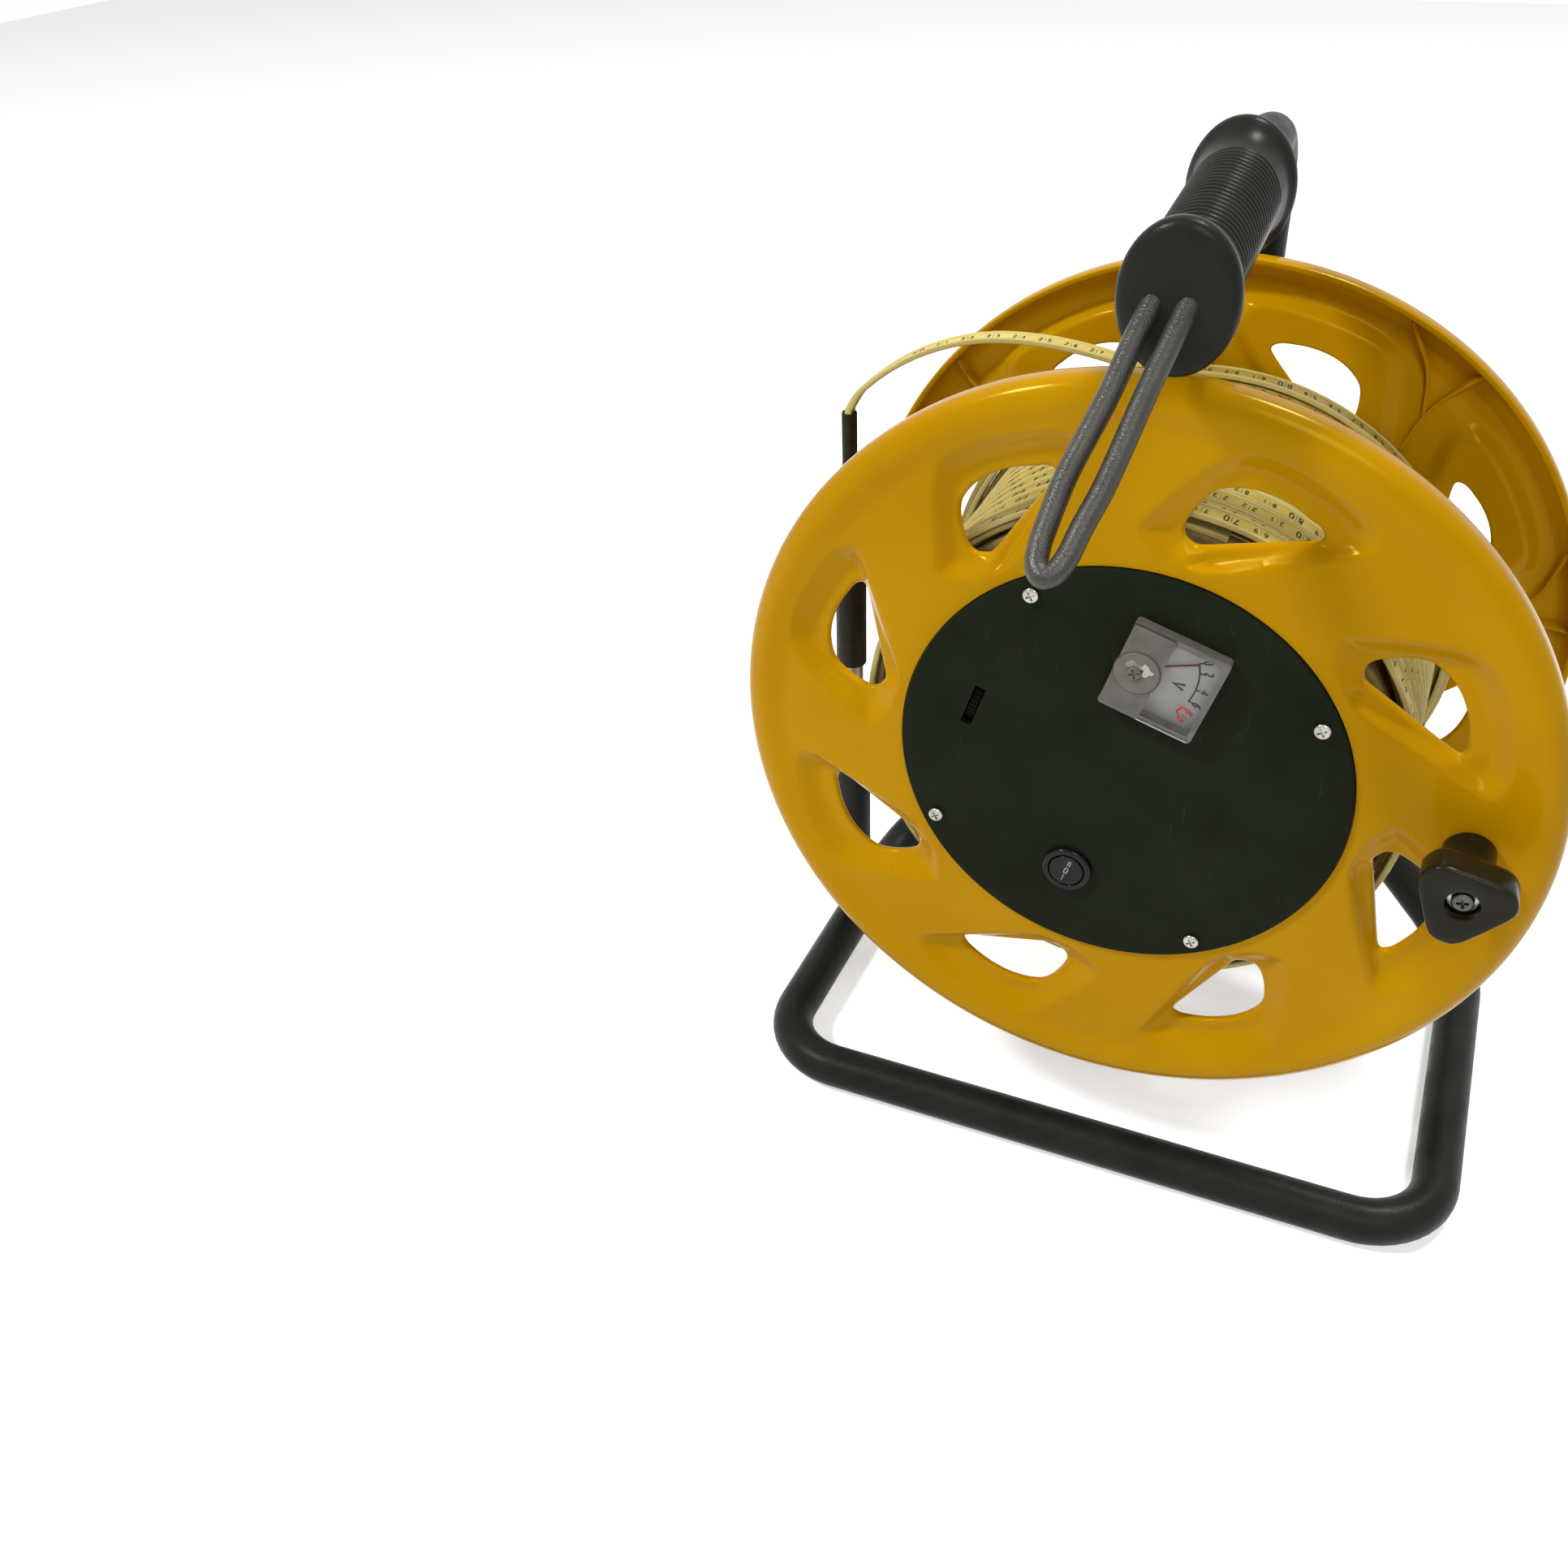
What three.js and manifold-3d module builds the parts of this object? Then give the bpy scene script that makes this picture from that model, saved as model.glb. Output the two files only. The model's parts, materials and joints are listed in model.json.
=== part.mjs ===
// Hand-cranked water level meter: a reel of flat measuring tape with a probe, on a bent tube stand.
// Millimetres, +Z up, floor at z = 0. The reel turns about Y; its instrument panel faces -Y.
import * as THREE from "three";
import Module from "manifold-3d";

const wasm = await Module();
wasm.setup();

// General
const GAP = 0.3;
const PAST = 1;
const SHIFT_Y = 24.75;
const HUB_Z = 188.6;

// Stand: one bent tube
const TUBE_R = 9;
const TUBE_SIDES = 12;
const BEND_STEPS = 5;
const UPRIGHT_X = 3;
const UPRIGHT_Y = 98.8;
const HANDLE_TOP_Z = 373;
const HANDLE_END = [6.6, -84.5, 363.2];
const TOP_BEND_R = 28;
const JUNCTION_Z = 163;
const JUNCTION_BEND_R = 20;
const BASE_HALF_X = 138;
const BASE_FRONT_Y = -77.3;
const BASE_BEND_R = 30;

// Grip on the handle
const GRIP_BORE_R = TUBE_R + GAP;
const GRIP_CORE_HALVES = [15, 17.2];
const GRIP_DISC_HALVES = [17.9, 23.2];
const GRIP_SIDES = 28;
const GRIP_REAR_DISC = 6;
const GRIP_FRONT_DISC = 9;
const GRIP_LENGTH = 110;
const GRIP_FRONT_WALL = 5;
const GRIP_NECK = 5;
const GRIP_EDGE = 2;
const GRIP_EDGE_STEP = 0.4;
const GRIP_FLARE = 1;
const GRIP_FREE = 2.5;

// Wire loop in front of the grip
const ROD_R = 3.4;
const LOOP_TOP = [5, -88.6, 363.4];
const LOOP_BOTTOM = [-8.8, -153, 305.4];
// Points of the bent rod, to the side of the loop's line and along it
const LOOP_BENDS = [
  [-4.6, 0], [-5, 16], [-5.1, 34], [-6, 48], [-6.6, 60], [-6, 74], [-5.2, 82], [-3.6, 87], [-1, 89.2],
  [1.5, 87.4], [3.1, 82], [3.5, 73], [4.5, 61], [4.7, 48], [4.6, 30], [5, 14], [5.4, 0],
];
const ROD_SIDES = 10;

// Axle and hub
const AXLE_R = 7;
const AXLE_REAR_Y = UPRIGHT_Y - TUBE_R - GAP;
const AXLE_SHOULDER_Y = -6;
const AXLE_THREAD_R = 5;
const AXLE_THREAD_END_Y = -19;
const BUSH_IN_R = AXLE_R + GAP;
const BUSH_OUT_R = 9;
const BUSH_LENGTH = 16;
const HUB_IN_R = BUSH_OUT_R + GAP;
const HUB_OUT_R = 13.5;
const HUB_PLATE_R = 65.6;
const HUB_PLATE_THICK = 3.5;
const WASHER_THICK = 1.6;
const AXLE_WASHER_R = 12;
const AXLE_NUT_R = 9.8;
const AXLE_NUT_THICK = 8;

// Flanges, both from one mould; heights are measured outwards from the reel's middle
const RIM_R = 144.3;
const RIM_SEGMENTS = 48;
const LAND_A = 71.2;
const WEB = 3;
const LEDGE_A = 69.4;
const LEDGE_IN_R = 62;
const LEDGE_OUT_R = 80.3;
const LIP_A = 61;
const LIP_THICK = 3;
const RIM_TOP_A = 73;
const RIM_SIDE_A = 67.5;
const RIM_SHOULDER_A = 71.6;
const RIM_SHOULDER = 2.1;
const RIM_CREST = 7.3;
const RIM_COVE = 5.8;
const RIM_FOOT = 15.3;
const POCKET_A = 67;
const POCKET_WALL = 2.8;
const WINDOWS = 8;
const WINDOW_TURN = 20;
const REAR_TURN = 32.5;

// Outlines of a window and of the pocket round it: how far out from the ledge, and to the side, for this width
const OUTLINE_WIDE = 64;
const WINDOW = [
  [7.7, 23.5], [9.2, 27.5], [13.2, 29.3], [19.7, 29.2], [26.7, 26.8], [32.1, 21.4], [34.9, 13], [35.5, 4],
  [34.3, -4.5], [31.9, -8.3], [29.5, -7.2], [19.7, 5.5], [9.2, 19.5],
];
const POCKET = [
  [1.2, 38], [4.2, 42.5], [9.7, 42], [37.7, 33.5], [45.2, 28], [49, 18], [49.7, 2], [48.3, -12], [45.3, -20],
  [39.7, -23.3], [33.7, -21.2], [19.7, -6.5], [5.7, 9.5],
];

// Drum and tape
const CORE_IN_R = 66;
const CORE_OUT_R = 70;
const CORE_HALF = 66.1;
const INNER_TAPE_R = 92;
const INNER_TAPE_HALF = 60;
const TAPE_WIDE = 9;
const TAPE_THICK = 3;
const WINDING_R = 94.8;
const WINDING_PITCH = 9.6;
const WINDING_LOOPS = 10;
const WINDING_STEPS = 24;
const WINDING_LAST_Y = 41;
const WINDING_LAST_DEG = 88;
const TAPE_LEAVES_DEG = 74;
const TAPE_CLEAR_R = 98.6;
const TAPE_ROUTE = [
  [-16, 41, 291.8], [-32, 40.8, 296], [-48, 40.4, 299.3], [-66, 39.6, 301.3], [-84, 38, 301.2],
  [-98, 35.6, 298.8], [-110, 32.6, 294.8], [-120, 29.4, 289.6], [-128, 26.2, 283.8], [-134, 23.6, 278],
  [-137.6, 22, 271.6],
];
const TAPE_END_SHARES = [1, 1, 1, 1, 1, 1, 1, 1, 1, 1, 0.95, 0.8, 0.62];

// Rear cover
const COVER_R = 80;
const COVER_BACK_A = LEDGE_A + GAP;
const COVER_A = 72.6;
const COVER_EDGE = 1.6;
const BOSS_R = 14;
const BOSS_A = 78.5;
const BOSS_ROUND = 1;

// Instrument panel and its fixings
const PANEL_R = 79.9;
const PANEL_A = 72.7;
const PANEL_BACK_A = LEDGE_A + GAP;
const PANEL_TURN = 107.8;
const SCREW_CIRCLE_R = 73.8;
const SCREW_FIRST_DEG = 27.5;
const SCREW_COUNT = 4;
const SCREW_HOLE_R = 1.75;
const SCREW_SHANK_R = 1.4;
const SCREW_HEAD_R = 2.9;
const SCREW_HEAD = 1.6;
const SCREW_TIP_A = 63;

// Meter, in the panel's turned axes (right, up) from the reel's axis
const METER_AT = [-45.36, -0.31];
const METER_SIDE = 34;
const METER_WALL = 1.5;
const METER_PROUD = 5.4;
const BOSS_PROUD = 0.6;
const METER_CASE_SIDE = 28;
const METER_HOLE_SIDE = 28.6;
const METER_CASE_BACK_A = 50;
const DIAL_SIDE = 30.4;
const DIAL_THICK = 0.5;
const PIVOT_UP = -10;
const NEEDLE_LENGTH = 21.5;
const NEEDLE_WIDE = 0.7;
const NEEDLE_TAIL = 4;
const NEEDLE_HUB_R = 1.8;
const NEEDLE_THICK = 0.5;
const NEEDLE_REST_DEG = 31;
const ZERO_BOSS_R = 6.5;
const ZERO_HOLE_R = 1.9;
const ZERO_SHANK_R = 1.5;
const ZERO_HEAD_R = 2.4;
const ZERO_HEAD = 0.9;

// Switch and sensitivity wheel
const SWITCH_AT = [47.35, 0.6];
const BEZEL_R = 9.25;
const BEZEL_PROUD = 2;
const SWITCH_HOLE_R = 7.9;
const SWITCH_OUT_R = 7.5;
const SWITCH_IN_R = 6.8;
const SWITCH_BACK_A = 56;
const SWITCH_BACK = 10;
const ROCKER_R = 6.35;
const ROCKER_HALF = 1.5;
const ROCKER_A = 73.6;
const SLOT_AT = [0.1, -55.6];
const SLOT_LONG = 17;
const SLOT_WIDE = 4;
const WHEEL_R = 11;
const WHEEL_WIDE = 3;
const WHEEL_DEEP = 0.3;
const WHEEL_PIN_R = 1.5;
const WHEEL_PIN_HALF = 3.4;
const CHEEK_IN = 2;
const CHEEK_WIDE = 9;
const CHEEK_LONG = 13;
const CHEEK_THICK = 1.6;

// Electronics behind the panel
const BOARD_SIZE = [74, 1.6, 44];
const BOARD_AT = [0, 38, -8];
const POST_R = 2.5;
const POST_AT = [27, 18];
const BATTERY_SIZE = [48, 17, 26];
const TRAY_WALL = 1.5;
const BATTERY_AT = [2, 59.1, 40];
const BUZZER_R = 11;
const BUZZER_LONG = 9;
const BUZZER_AT = [18, 64.9, -42];

// Crank
const CRANK_SHARE = 0.5734;
const CRANK_R = LEDGE_OUT_R + (RIM_R - LEDGE_OUT_R) * CRANK_SHARE;
const CRANK_DEG = -1.3;
const CRANK_HOLE_R = 3.4;
const CRANK_BOLT_R = 3;
const CRANK_NECK_R = 8.5;
const CRANK_FOOT_A = LAND_A + GAP;
const CRANK_STAR_A = 88;
const CRANK_TOP_A = 101;
const CRANK_BORE_R = 3.35;
const STAR_LOBES = 3;
const STAR_OUT_R = 16.2;
const STAR_FLAT_R = 11.9;
const STAR_STEPS = 30;
const STAR_TURN = 18;
const STAR_CORNER = 14;
const STAR_RECESS_R = 5.4;
const STAR_RECESS = 5.2;
const STAR_WASHER_R = 4.9;
const BOLT_WASHER_R = 6;
const BOLT_WASHER = 1;
const BOLT_HEAD_R = 3.5;
const BOLT_HEAD = 2;
const CRANK_NUT_R = 5.77;
const CRANK_NUT = 5;
const BOLT_END = 1.5;

// Probe and its holder on the left floor bar
const PROBE_AT = [-BASE_HALF_X, 22];
const HOLDER_OUT_R = 8;
const HOLDER_IN_R = 5.9;
const HOLDER_FOOT_Z = 12;
const HOLDER_TOP_Z = 106;
const PROBE_R = 5;
const PROBE_FOOT_Z = 18.3;
const PROBE_NOSE = 7;
const NOSE_SHARES = [[0.5, 0.15], [0.9, 0.6]];
const PROBE_TOP_Z = 199.5;
const SLEEVE_R = 6.6;
const SLEEVE_FOOT_Z = 154;
const SLEEVE_STEP_Z = 200;
const SLEEVE_SHOULDER_Z = 220;
const SLEEVE_TOP_Z = 225;
const SHOULDER_SHARE = 0.85;
const THIN_R = 3.2;
const THIN_FOOT_Z = 203;
const THIN_TOP_Z = 270;

// Finishes
const YELLOW = new THREE.MeshStandardMaterial({ color: 0xf2b41c, roughness: 0.3, name: "yellow_plastic" });
const BLACK_PAINT = new THREE.MeshStandardMaterial({ color: 0x1c1e1f, roughness: 0.45, name: "black_paint" });
const BLACK_MATTE = new THREE.MeshStandardMaterial({ color: 0x202220, roughness: 0.7, name: "black_matte" });
const BLACK_GLOSS = new THREE.MeshStandardMaterial({ color: 0x141516, roughness: 0.15, name: "black_gloss" });
const BLACK_RUBBER = new THREE.MeshStandardMaterial({ color: 0x1a1a1a, roughness: 0.8, name: "black_rubber" });
const STEEL = new THREE.MeshStandardMaterial({ color: 0xb9bbbd, roughness: 0.3, metalness: 1, name: "steel" });
const BRASS = new THREE.MeshStandardMaterial({ color: 0xc8a550, roughness: 0.35, metalness: 1, name: "brass" });
const TAPE = new THREE.MeshStandardMaterial({ color: 0xd9cf86, roughness: 0.35, name: "tape_plastic" });
const CORE = new THREE.MeshStandardMaterial({ color: 0xe0a018, roughness: 0.5, name: "core_plastic" });
const WHITE = new THREE.MeshStandardMaterial({ color: 0xefefef, roughness: 0.5, name: "white_card" });
const RED = new THREE.MeshStandardMaterial({ color: 0xcc2030, roughness: 0.5, name: "red_paint" });
const CLEAR = new THREE.MeshStandardMaterial({ color: 0xdfe6e8, roughness: 0.1, transparent: true, opacity: 0.35, name: "clear" });
const BOARD_GREEN = new THREE.MeshStandardMaterial({ color: 0x1d6b3a, roughness: 0.5, name: "board" });

const group = new THREE.Group();
group.name = "water_level_meter";

const rad = (deg) => (deg * Math.PI) / 180;
const vec = (p) => new THREE.Vector3(p[0], p[1], p[2]);

// Solids from triangles, and back
function solid(geometry) {
  const g = geometry.index ? geometry.toNonIndexed() : geometry.clone();
  const p = g.attributes.position.array;
  const seen = new Map();
  const verts = [];
  const tris = [];
  const ids = [];
  for (let i = 0; i < p.length; i += 3) {
    const key = `${Math.round(p[i] * 1e4)},${Math.round(p[i + 1] * 1e4)},${Math.round(p[i + 2] * 1e4)}`;
    if (!seen.has(key)) {
      seen.set(key, verts.length / 3);
      verts.push(p[i], p[i + 1], p[i + 2]);
    }
    ids.push(seen.get(key));
  }
  for (let i = 0; i < ids.length; i += 3) {
    if (ids[i] !== ids[i + 1] && ids[i + 1] !== ids[i + 2] && ids[i] !== ids[i + 2]) {
      tris.push(ids[i], ids[i + 1], ids[i + 2]);
    }
  }
  const mesh = new wasm.Mesh({
    numProp: 3,
    vertProperties: new Float32Array(verts),
    triVerts: new Uint32Array(tris),
  });
  return new wasm.Manifold(mesh);
}

function geometryOf(shape) {
  const mesh = shape.getMesh();
  const g = new THREE.BufferGeometry();
  const pos = new Float32Array(mesh.numVert * 3);
  for (let i = 0; i < mesh.numVert; i += 1) {
    for (let k = 0; k < 3; k += 1) {
      pos[i * 3 + k] = mesh.vertProperties[i * mesh.numProp + k];
    }
  }
  g.setAttribute("position", new THREE.BufferAttribute(pos, 3));
  g.setIndex(new THREE.BufferAttribute(new Uint32Array(mesh.triVerts), 1));
  return g;
}

// Every solid is built about the reel's axis or in place, then moved into the object's frame
function add(name, shape, material) {
  const g = geometryOf(shape.translate([0, SHIFT_Y, 0]));
  g.computeVertexNormals();
  const mesh = new THREE.Mesh(g, material);
  mesh.name = name;
  group.add(mesh);
  return mesh;
}

// A closed profile [radius, height] turned about Y
function turned(profile, sides) {
  const pts = profile.concat([profile[0]]).map((p) => new THREE.Vector2(p[0], p[1]));
  const made = solid(new THREE.LatheGeometry(pts, sides));
  return made.volume() < 0 ? solid(flipped(new THREE.LatheGeometry(pts, sides))) : made;
}

function flipped(geometry) {
  const g = geometry.toNonIndexed();
  const a = g.attributes.position;
  for (let i = 0; i < a.count; i += 3) {
    for (let k = 0; k < 3; k += 1) {
      const t = a.array[(i + 1) * 3 + k];
      a.array[(i + 1) * 3 + k] = a.array[(i + 2) * 3 + k];
      a.array[(i + 2) * 3 + k] = t;
    }
  }
  return g;
}

// A rod or ring about Y between two heights
function rod(r, y0, y1, sides = 24) {
  return turned([[0, y0], [r, y0], [r, y1], [0, y1]], sides);
}

function ring(rIn, rOut, y0, y1, sides = 24) {
  return turned([[rIn, y0], [rOut, y0], [rOut, y1], [rIn, y1]], sides);
}

// An outline in (x, z) pushed along Y
function prism(outline, y0, y1) {
  const section = new wasm.CrossSection([outline], "Positive");
  return section.extrude(y1 - y0).rotate([90, 0, 0]).translate([0, y1, 0]);
}

function block(size, at) {
  return wasm.Manifold.cube(size, true).translate(at);
}

// Corner points with each corner rounded to a radius
function rounded(corners, radii, steps) {
  const out = [corners[0].clone()];
  for (let i = 1; i < corners.length - 1; i += 1) {
    const c = corners[i];
    const a = corners[i - 1].clone().sub(c).normalize();
    const b = corners[i + 1].clone().sub(c).normalize();
    const half = Math.acos(a.dot(b)) / 2;
    const reach = radii[i - 1] / Math.tan(half);
    const middle = c.clone().add(a.clone().add(b).normalize().multiplyScalar(radii[i - 1] / Math.sin(half)));
    const from = c.clone().add(a.multiplyScalar(reach)).sub(middle);
    const to = c.clone().add(b.multiplyScalar(reach)).sub(middle);
    const sweepAngle = from.angleTo(to);
    const turnAxis = from.clone().cross(to).normalize();
    for (let k = 0; k <= steps; k += 1) {
      out.push(middle.clone().add(from.clone().applyAxisAngle(turnAxis, (sweepAngle * k) / steps)));
    }
  }
  out.push(corners[corners.length - 1].clone());
  return out;
}

// A section swept along points; a fixed side direction keeps a flat section level
function swept(points, sectionAt, sideFixed = null) {
  const rings = [];
  let side = null;
  for (let i = 0; i < points.length; i += 1) {
    const before = points[Math.max(i - 1, 0)];
    const after = points[Math.min(i + 1, points.length - 1)];
    const into = points[i].clone().sub(before).normalize();
    const out = after.clone().sub(points[i]).normalize();
    const along = i === 0 ? out : i === points.length - 1 ? into : into.clone().add(out).normalize();
    const stretch = i === 0 || i === points.length - 1 ? 1 : 1 / Math.max(into.dot(along), 0.5);
    if (sideFixed) {
      side = sideFixed.clone();
    } else if (!side) {
      side = Math.abs(along.z) < 0.9 ? new THREE.Vector3(0, 0, 1) : new THREE.Vector3(1, 0, 0);
    }
    side = side.clone().sub(along.clone().multiplyScalar(side.dot(along))).normalize();
    const up = along.clone().cross(side).normalize();
    const bend = out.clone().sub(into);
    const bendDir = bend.length() > 1e-6 ? bend.normalize() : null;
    rings.push(
      sectionAt(i).map(([s, u]) => {
        const q = side.clone().multiplyScalar(s).add(up.clone().multiplyScalar(u));
        if (bendDir) {
          q.add(bendDir.clone().multiplyScalar(q.dot(bendDir) * (stretch - 1)));
        }
        return q.add(points[i]);
      }),
    );
  }
  const n = rings[0].length;
  const tri = [];
  for (let i = 0; i < rings.length - 1; i += 1) {
    for (let k = 0; k < n; k += 1) {
      const a = rings[i][k];
      const b = rings[i][(k + 1) % n];
      const c = rings[i + 1][(k + 1) % n];
      const d = rings[i + 1][k];
      tri.push(a, b, c, a, c, d);
    }
  }
  const first = rings[0];
  const last = rings[rings.length - 1];
  for (let k = 1; k < n - 1; k += 1) {
    tri.push(first[0], first[k + 1], first[k]);
    tri.push(last[0], last[k], last[k + 1]);
  }
  const pos = new Float32Array(tri.length * 3);
  tri.forEach((p, i) => p.toArray(pos, i * 3));
  const g = new THREE.BufferGeometry();
  g.setAttribute("position", new THREE.BufferAttribute(pos, 3));
  return solid(g);
}

function circle(r, sides) {
  const out = [];
  for (let k = 0; k < sides; k += 1) {
    const a = (2 * Math.PI * k) / sides;
    out.push([r * Math.cos(a), r * Math.sin(a)]);
  }
  return out;
}

function tapeSection(share = 1) {
  const w = (TAPE_WIDE / 2) * share;
  const t = TAPE_THICK / 2;
  return [[w, 0], [w * 0.8, t], [-w * 0.8, t], [-w, 0], [-w * 0.8, -t], [w * 0.8, -t]];
}

// A point given in the panel's (right, up) axes
function panelPoint(right, up) {
  const t = rad(PANEL_TURN);
  return [right * Math.cos(t) + up * Math.sin(t), -right * Math.sin(t) + up * Math.cos(t)];
}

// A solid drawn upright about the Y axis is turned with the panel and moved to its place
function onPanel(shape, at) {
  const p = panelPoint(at[0], at[1]);
  return shape.rotate([0, PANEL_TURN, 0]).translate([p[0], 0, HUB_Z + p[1]]);
}

function onReel(shape) {
  return shape.translate([0, 0, HUB_Z]);
}

// Stand
const top = new THREE.Vector3(UPRIGHT_X, UPRIGHT_Y, HANDLE_TOP_Z);
const junction = new THREE.Vector3(UPRIGHT_X, UPRIGHT_Y, JUNCTION_Z);
const mainRun = rounded(
  [
    new THREE.Vector3(0, BASE_FRONT_Y, TUBE_R),
    new THREE.Vector3(BASE_HALF_X, BASE_FRONT_Y, TUBE_R),
    new THREE.Vector3(BASE_HALF_X, UPRIGHT_Y, TUBE_R),
    junction,
    top,
    vec(HANDLE_END),
  ],
  [BASE_BEND_R, BASE_BEND_R, JUNCTION_BEND_R, TOP_BEND_R],
  BEND_STEPS,
);
const otherRun = rounded(
  [
    new THREE.Vector3(PAST, BASE_FRONT_Y, TUBE_R),
    new THREE.Vector3(-BASE_HALF_X, BASE_FRONT_Y, TUBE_R),
    new THREE.Vector3(-BASE_HALF_X, UPRIGHT_Y, TUBE_R),
    junction,
  ],
  [BASE_BEND_R, BASE_BEND_R],
  BEND_STEPS,
);
const tubeSection = circle(TUBE_R, TUBE_SIDES);
const standTube = swept(mainRun, () => tubeSection).add(swept(otherRun, () => tubeSection));
add("frame_tube", standTube, BLACK_PAINT);

// Grip, turned about the handle's own line
const handleLine = vec(HANDLE_END).sub(top).normalize();
function alongHandle(shape, from) {
  const q = new THREE.Quaternion().setFromUnitVectors(new THREE.Vector3(0, -1, 0), handleLine);
  const m = new THREE.Matrix4().compose(from, q, new THREE.Vector3(1, 1, 1));
  return shape.transform(m.elements.slice());
}
const gripWall = GRIP_FRONT_WALL;
const gripFrontAt = vec(HANDLE_END).add(handleLine.clone().multiplyScalar(GRIP_FRONT_WALL + GRIP_FREE));
const gripStation = ([halfX, halfZ], grow, along) => [halfX + grow, halfZ + grow, along];
const gripRear = GRIP_LENGTH - GRIP_REAR_DISC;
const gripStations = [
  gripStation(GRIP_DISC_HALVES, -GRIP_EDGE, 0),
  gripStation(GRIP_DISC_HALVES, 0, GRIP_EDGE),
  gripStation(GRIP_DISC_HALVES, 0, GRIP_FRONT_DISC - GRIP_EDGE),
  gripStation(GRIP_DISC_HALVES, -GRIP_EDGE, GRIP_FRONT_DISC - GRIP_EDGE_STEP),
  gripStation(GRIP_CORE_HALVES, GRIP_FLARE, GRIP_FRONT_DISC + GRIP_NECK),
  gripStation(GRIP_CORE_HALVES, 0, GRIP_FRONT_DISC + 2 * GRIP_NECK),
  gripStation(GRIP_CORE_HALVES, 0, gripRear - 2 * GRIP_NECK),
  gripStation(GRIP_CORE_HALVES, GRIP_FLARE, gripRear - GRIP_NECK),
  gripStation(GRIP_DISC_HALVES, -GRIP_EDGE, gripRear + GRIP_EDGE_STEP),
  gripStation(GRIP_DISC_HALVES, 0, gripRear + GRIP_EDGE),
  gripStation(GRIP_DISC_HALVES, 0, GRIP_LENGTH - GRIP_EDGE),
  gripStation(GRIP_DISC_HALVES, -GRIP_EDGE, GRIP_LENGTH),
];
const gripSolid = swept(
  gripStations.map(([, , along]) => new THREE.Vector3(0, along, 0)),
  (i) => circle(1, GRIP_SIDES).map(([s, u]) => [s * gripStations[i][0], u * gripStations[i][1]]),
  new THREE.Vector3(1, 0, 0),
).subtract(rod(GRIP_BORE_R, gripWall, GRIP_LENGTH + PAST, GRIP_SIDES));
const loopTop = vec(LOOP_TOP);
const loopLine = vec(LOOP_BOTTOM).sub(loopTop);
const loopLength = loopLine.length();
loopLine.normalize();
const loopSide = new THREE.Vector3(1, 0, 0);
loopSide.sub(loopLine.clone().multiplyScalar(loopSide.dot(loopLine))).normalize();
const loopAt = (side, along) =>
  loopTop.clone().add(loopSide.clone().multiplyScalar(side)).add(loopLine.clone().multiplyScalar(along));
const rodHole = (side) => swept(
  [loopAt(side, -2 * ROD_R), loopAt(side, 6 * ROD_R)],
  () => circle(ROD_R + 2 * GAP, ROD_SIDES),
);
const rodEnds = [LOOP_BENDS[0][0], LOOP_BENDS[LOOP_BENDS.length - 1][0]];
const slotHalf = ROD_R + GAP;
const gripHole = swept(
  [loopAt(0, -2 * ROD_R), loopAt(0, 6 * ROD_R)],
  () => [[rodEnds[0], -slotHalf], [rodEnds[1], -slotHalf], [rodEnds[1], slotHalf], [rodEnds[0], slotHalf]],
  loopSide,
);
const grip = rodEnds.reduce(
  (body, side) => body.subtract(rodHole(side)),
  alongHandle(gripSolid, gripFrontAt).subtract(gripHole),
);
add("handle_grip", grip, BLACK_RUBBER);

// Wire loop
const loopPath = LOOP_BENDS.map(([side, along]) => loopAt(side, along));
add("wire_loop", swept(loopPath, () => circle(ROD_R, ROD_SIDES)), BLACK_PAINT);

// Axle with its washer and nut
const axleProfile = [
  [0, AXLE_THREAD_END_Y],
  [AXLE_THREAD_R, AXLE_THREAD_END_Y],
  [AXLE_THREAD_R, AXLE_SHOULDER_Y],
  [AXLE_R, AXLE_SHOULDER_Y],
  [AXLE_R, AXLE_REAR_Y],
  [0, AXLE_REAR_Y],
];
add("axle", onReel(turned(axleProfile, 24)), STEEL);
const washerY = AXLE_SHOULDER_Y - GAP;
add("axle_washer", onReel(ring(AXLE_THREAD_R + GAP, AXLE_WASHER_R, washerY - WASHER_THICK, washerY, 16)), STEEL);
const nutY = washerY - WASHER_THICK - GAP;
const axleNut = rod(AXLE_NUT_R, nutY - AXLE_NUT_THICK, nutY, 6).subtract(rod(AXLE_THREAD_R + GAP, 2 * AXLE_THREAD_END_Y, 0, 16));
add("axle_nut", onReel(axleNut), STEEL);

// Hub, bushes, drum
const hubPlateBack = LEDGE_A - WEB - GAP;
const hubProfile = [
  [HUB_IN_R, AXLE_SHOULDER_Y + GAP],
  [HUB_OUT_R, AXLE_SHOULDER_Y + GAP],
  [HUB_OUT_R, hubPlateBack - HUB_PLATE_THICK],
  [HUB_PLATE_R, hubPlateBack - HUB_PLATE_THICK],
  [HUB_PLATE_R, hubPlateBack],
  [HUB_IN_R, hubPlateBack],
];
add("reel_hub", onReel(turned(hubProfile, 24)), BLACK_MATTE);
const bush = (y0) => onReel(ring(BUSH_IN_R, BUSH_OUT_R, y0, y0 + BUSH_LENGTH, 20));
add("bush_front", bush(AXLE_SHOULDER_Y + 2 * GAP), BRASS);
add("bush_rear", bush(hubPlateBack - BUSH_LENGTH - GAP), BRASS);
add("drum_core", onReel(ring(CORE_IN_R, CORE_OUT_R, -CORE_HALF, CORE_HALF, 32)), CORE);
add("inner_tape", onReel(ring(CORE_OUT_R + GAP, INNER_TAPE_R, -INNER_TAPE_HALF, INNER_TAPE_HALF, 48)), TAPE);

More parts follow.
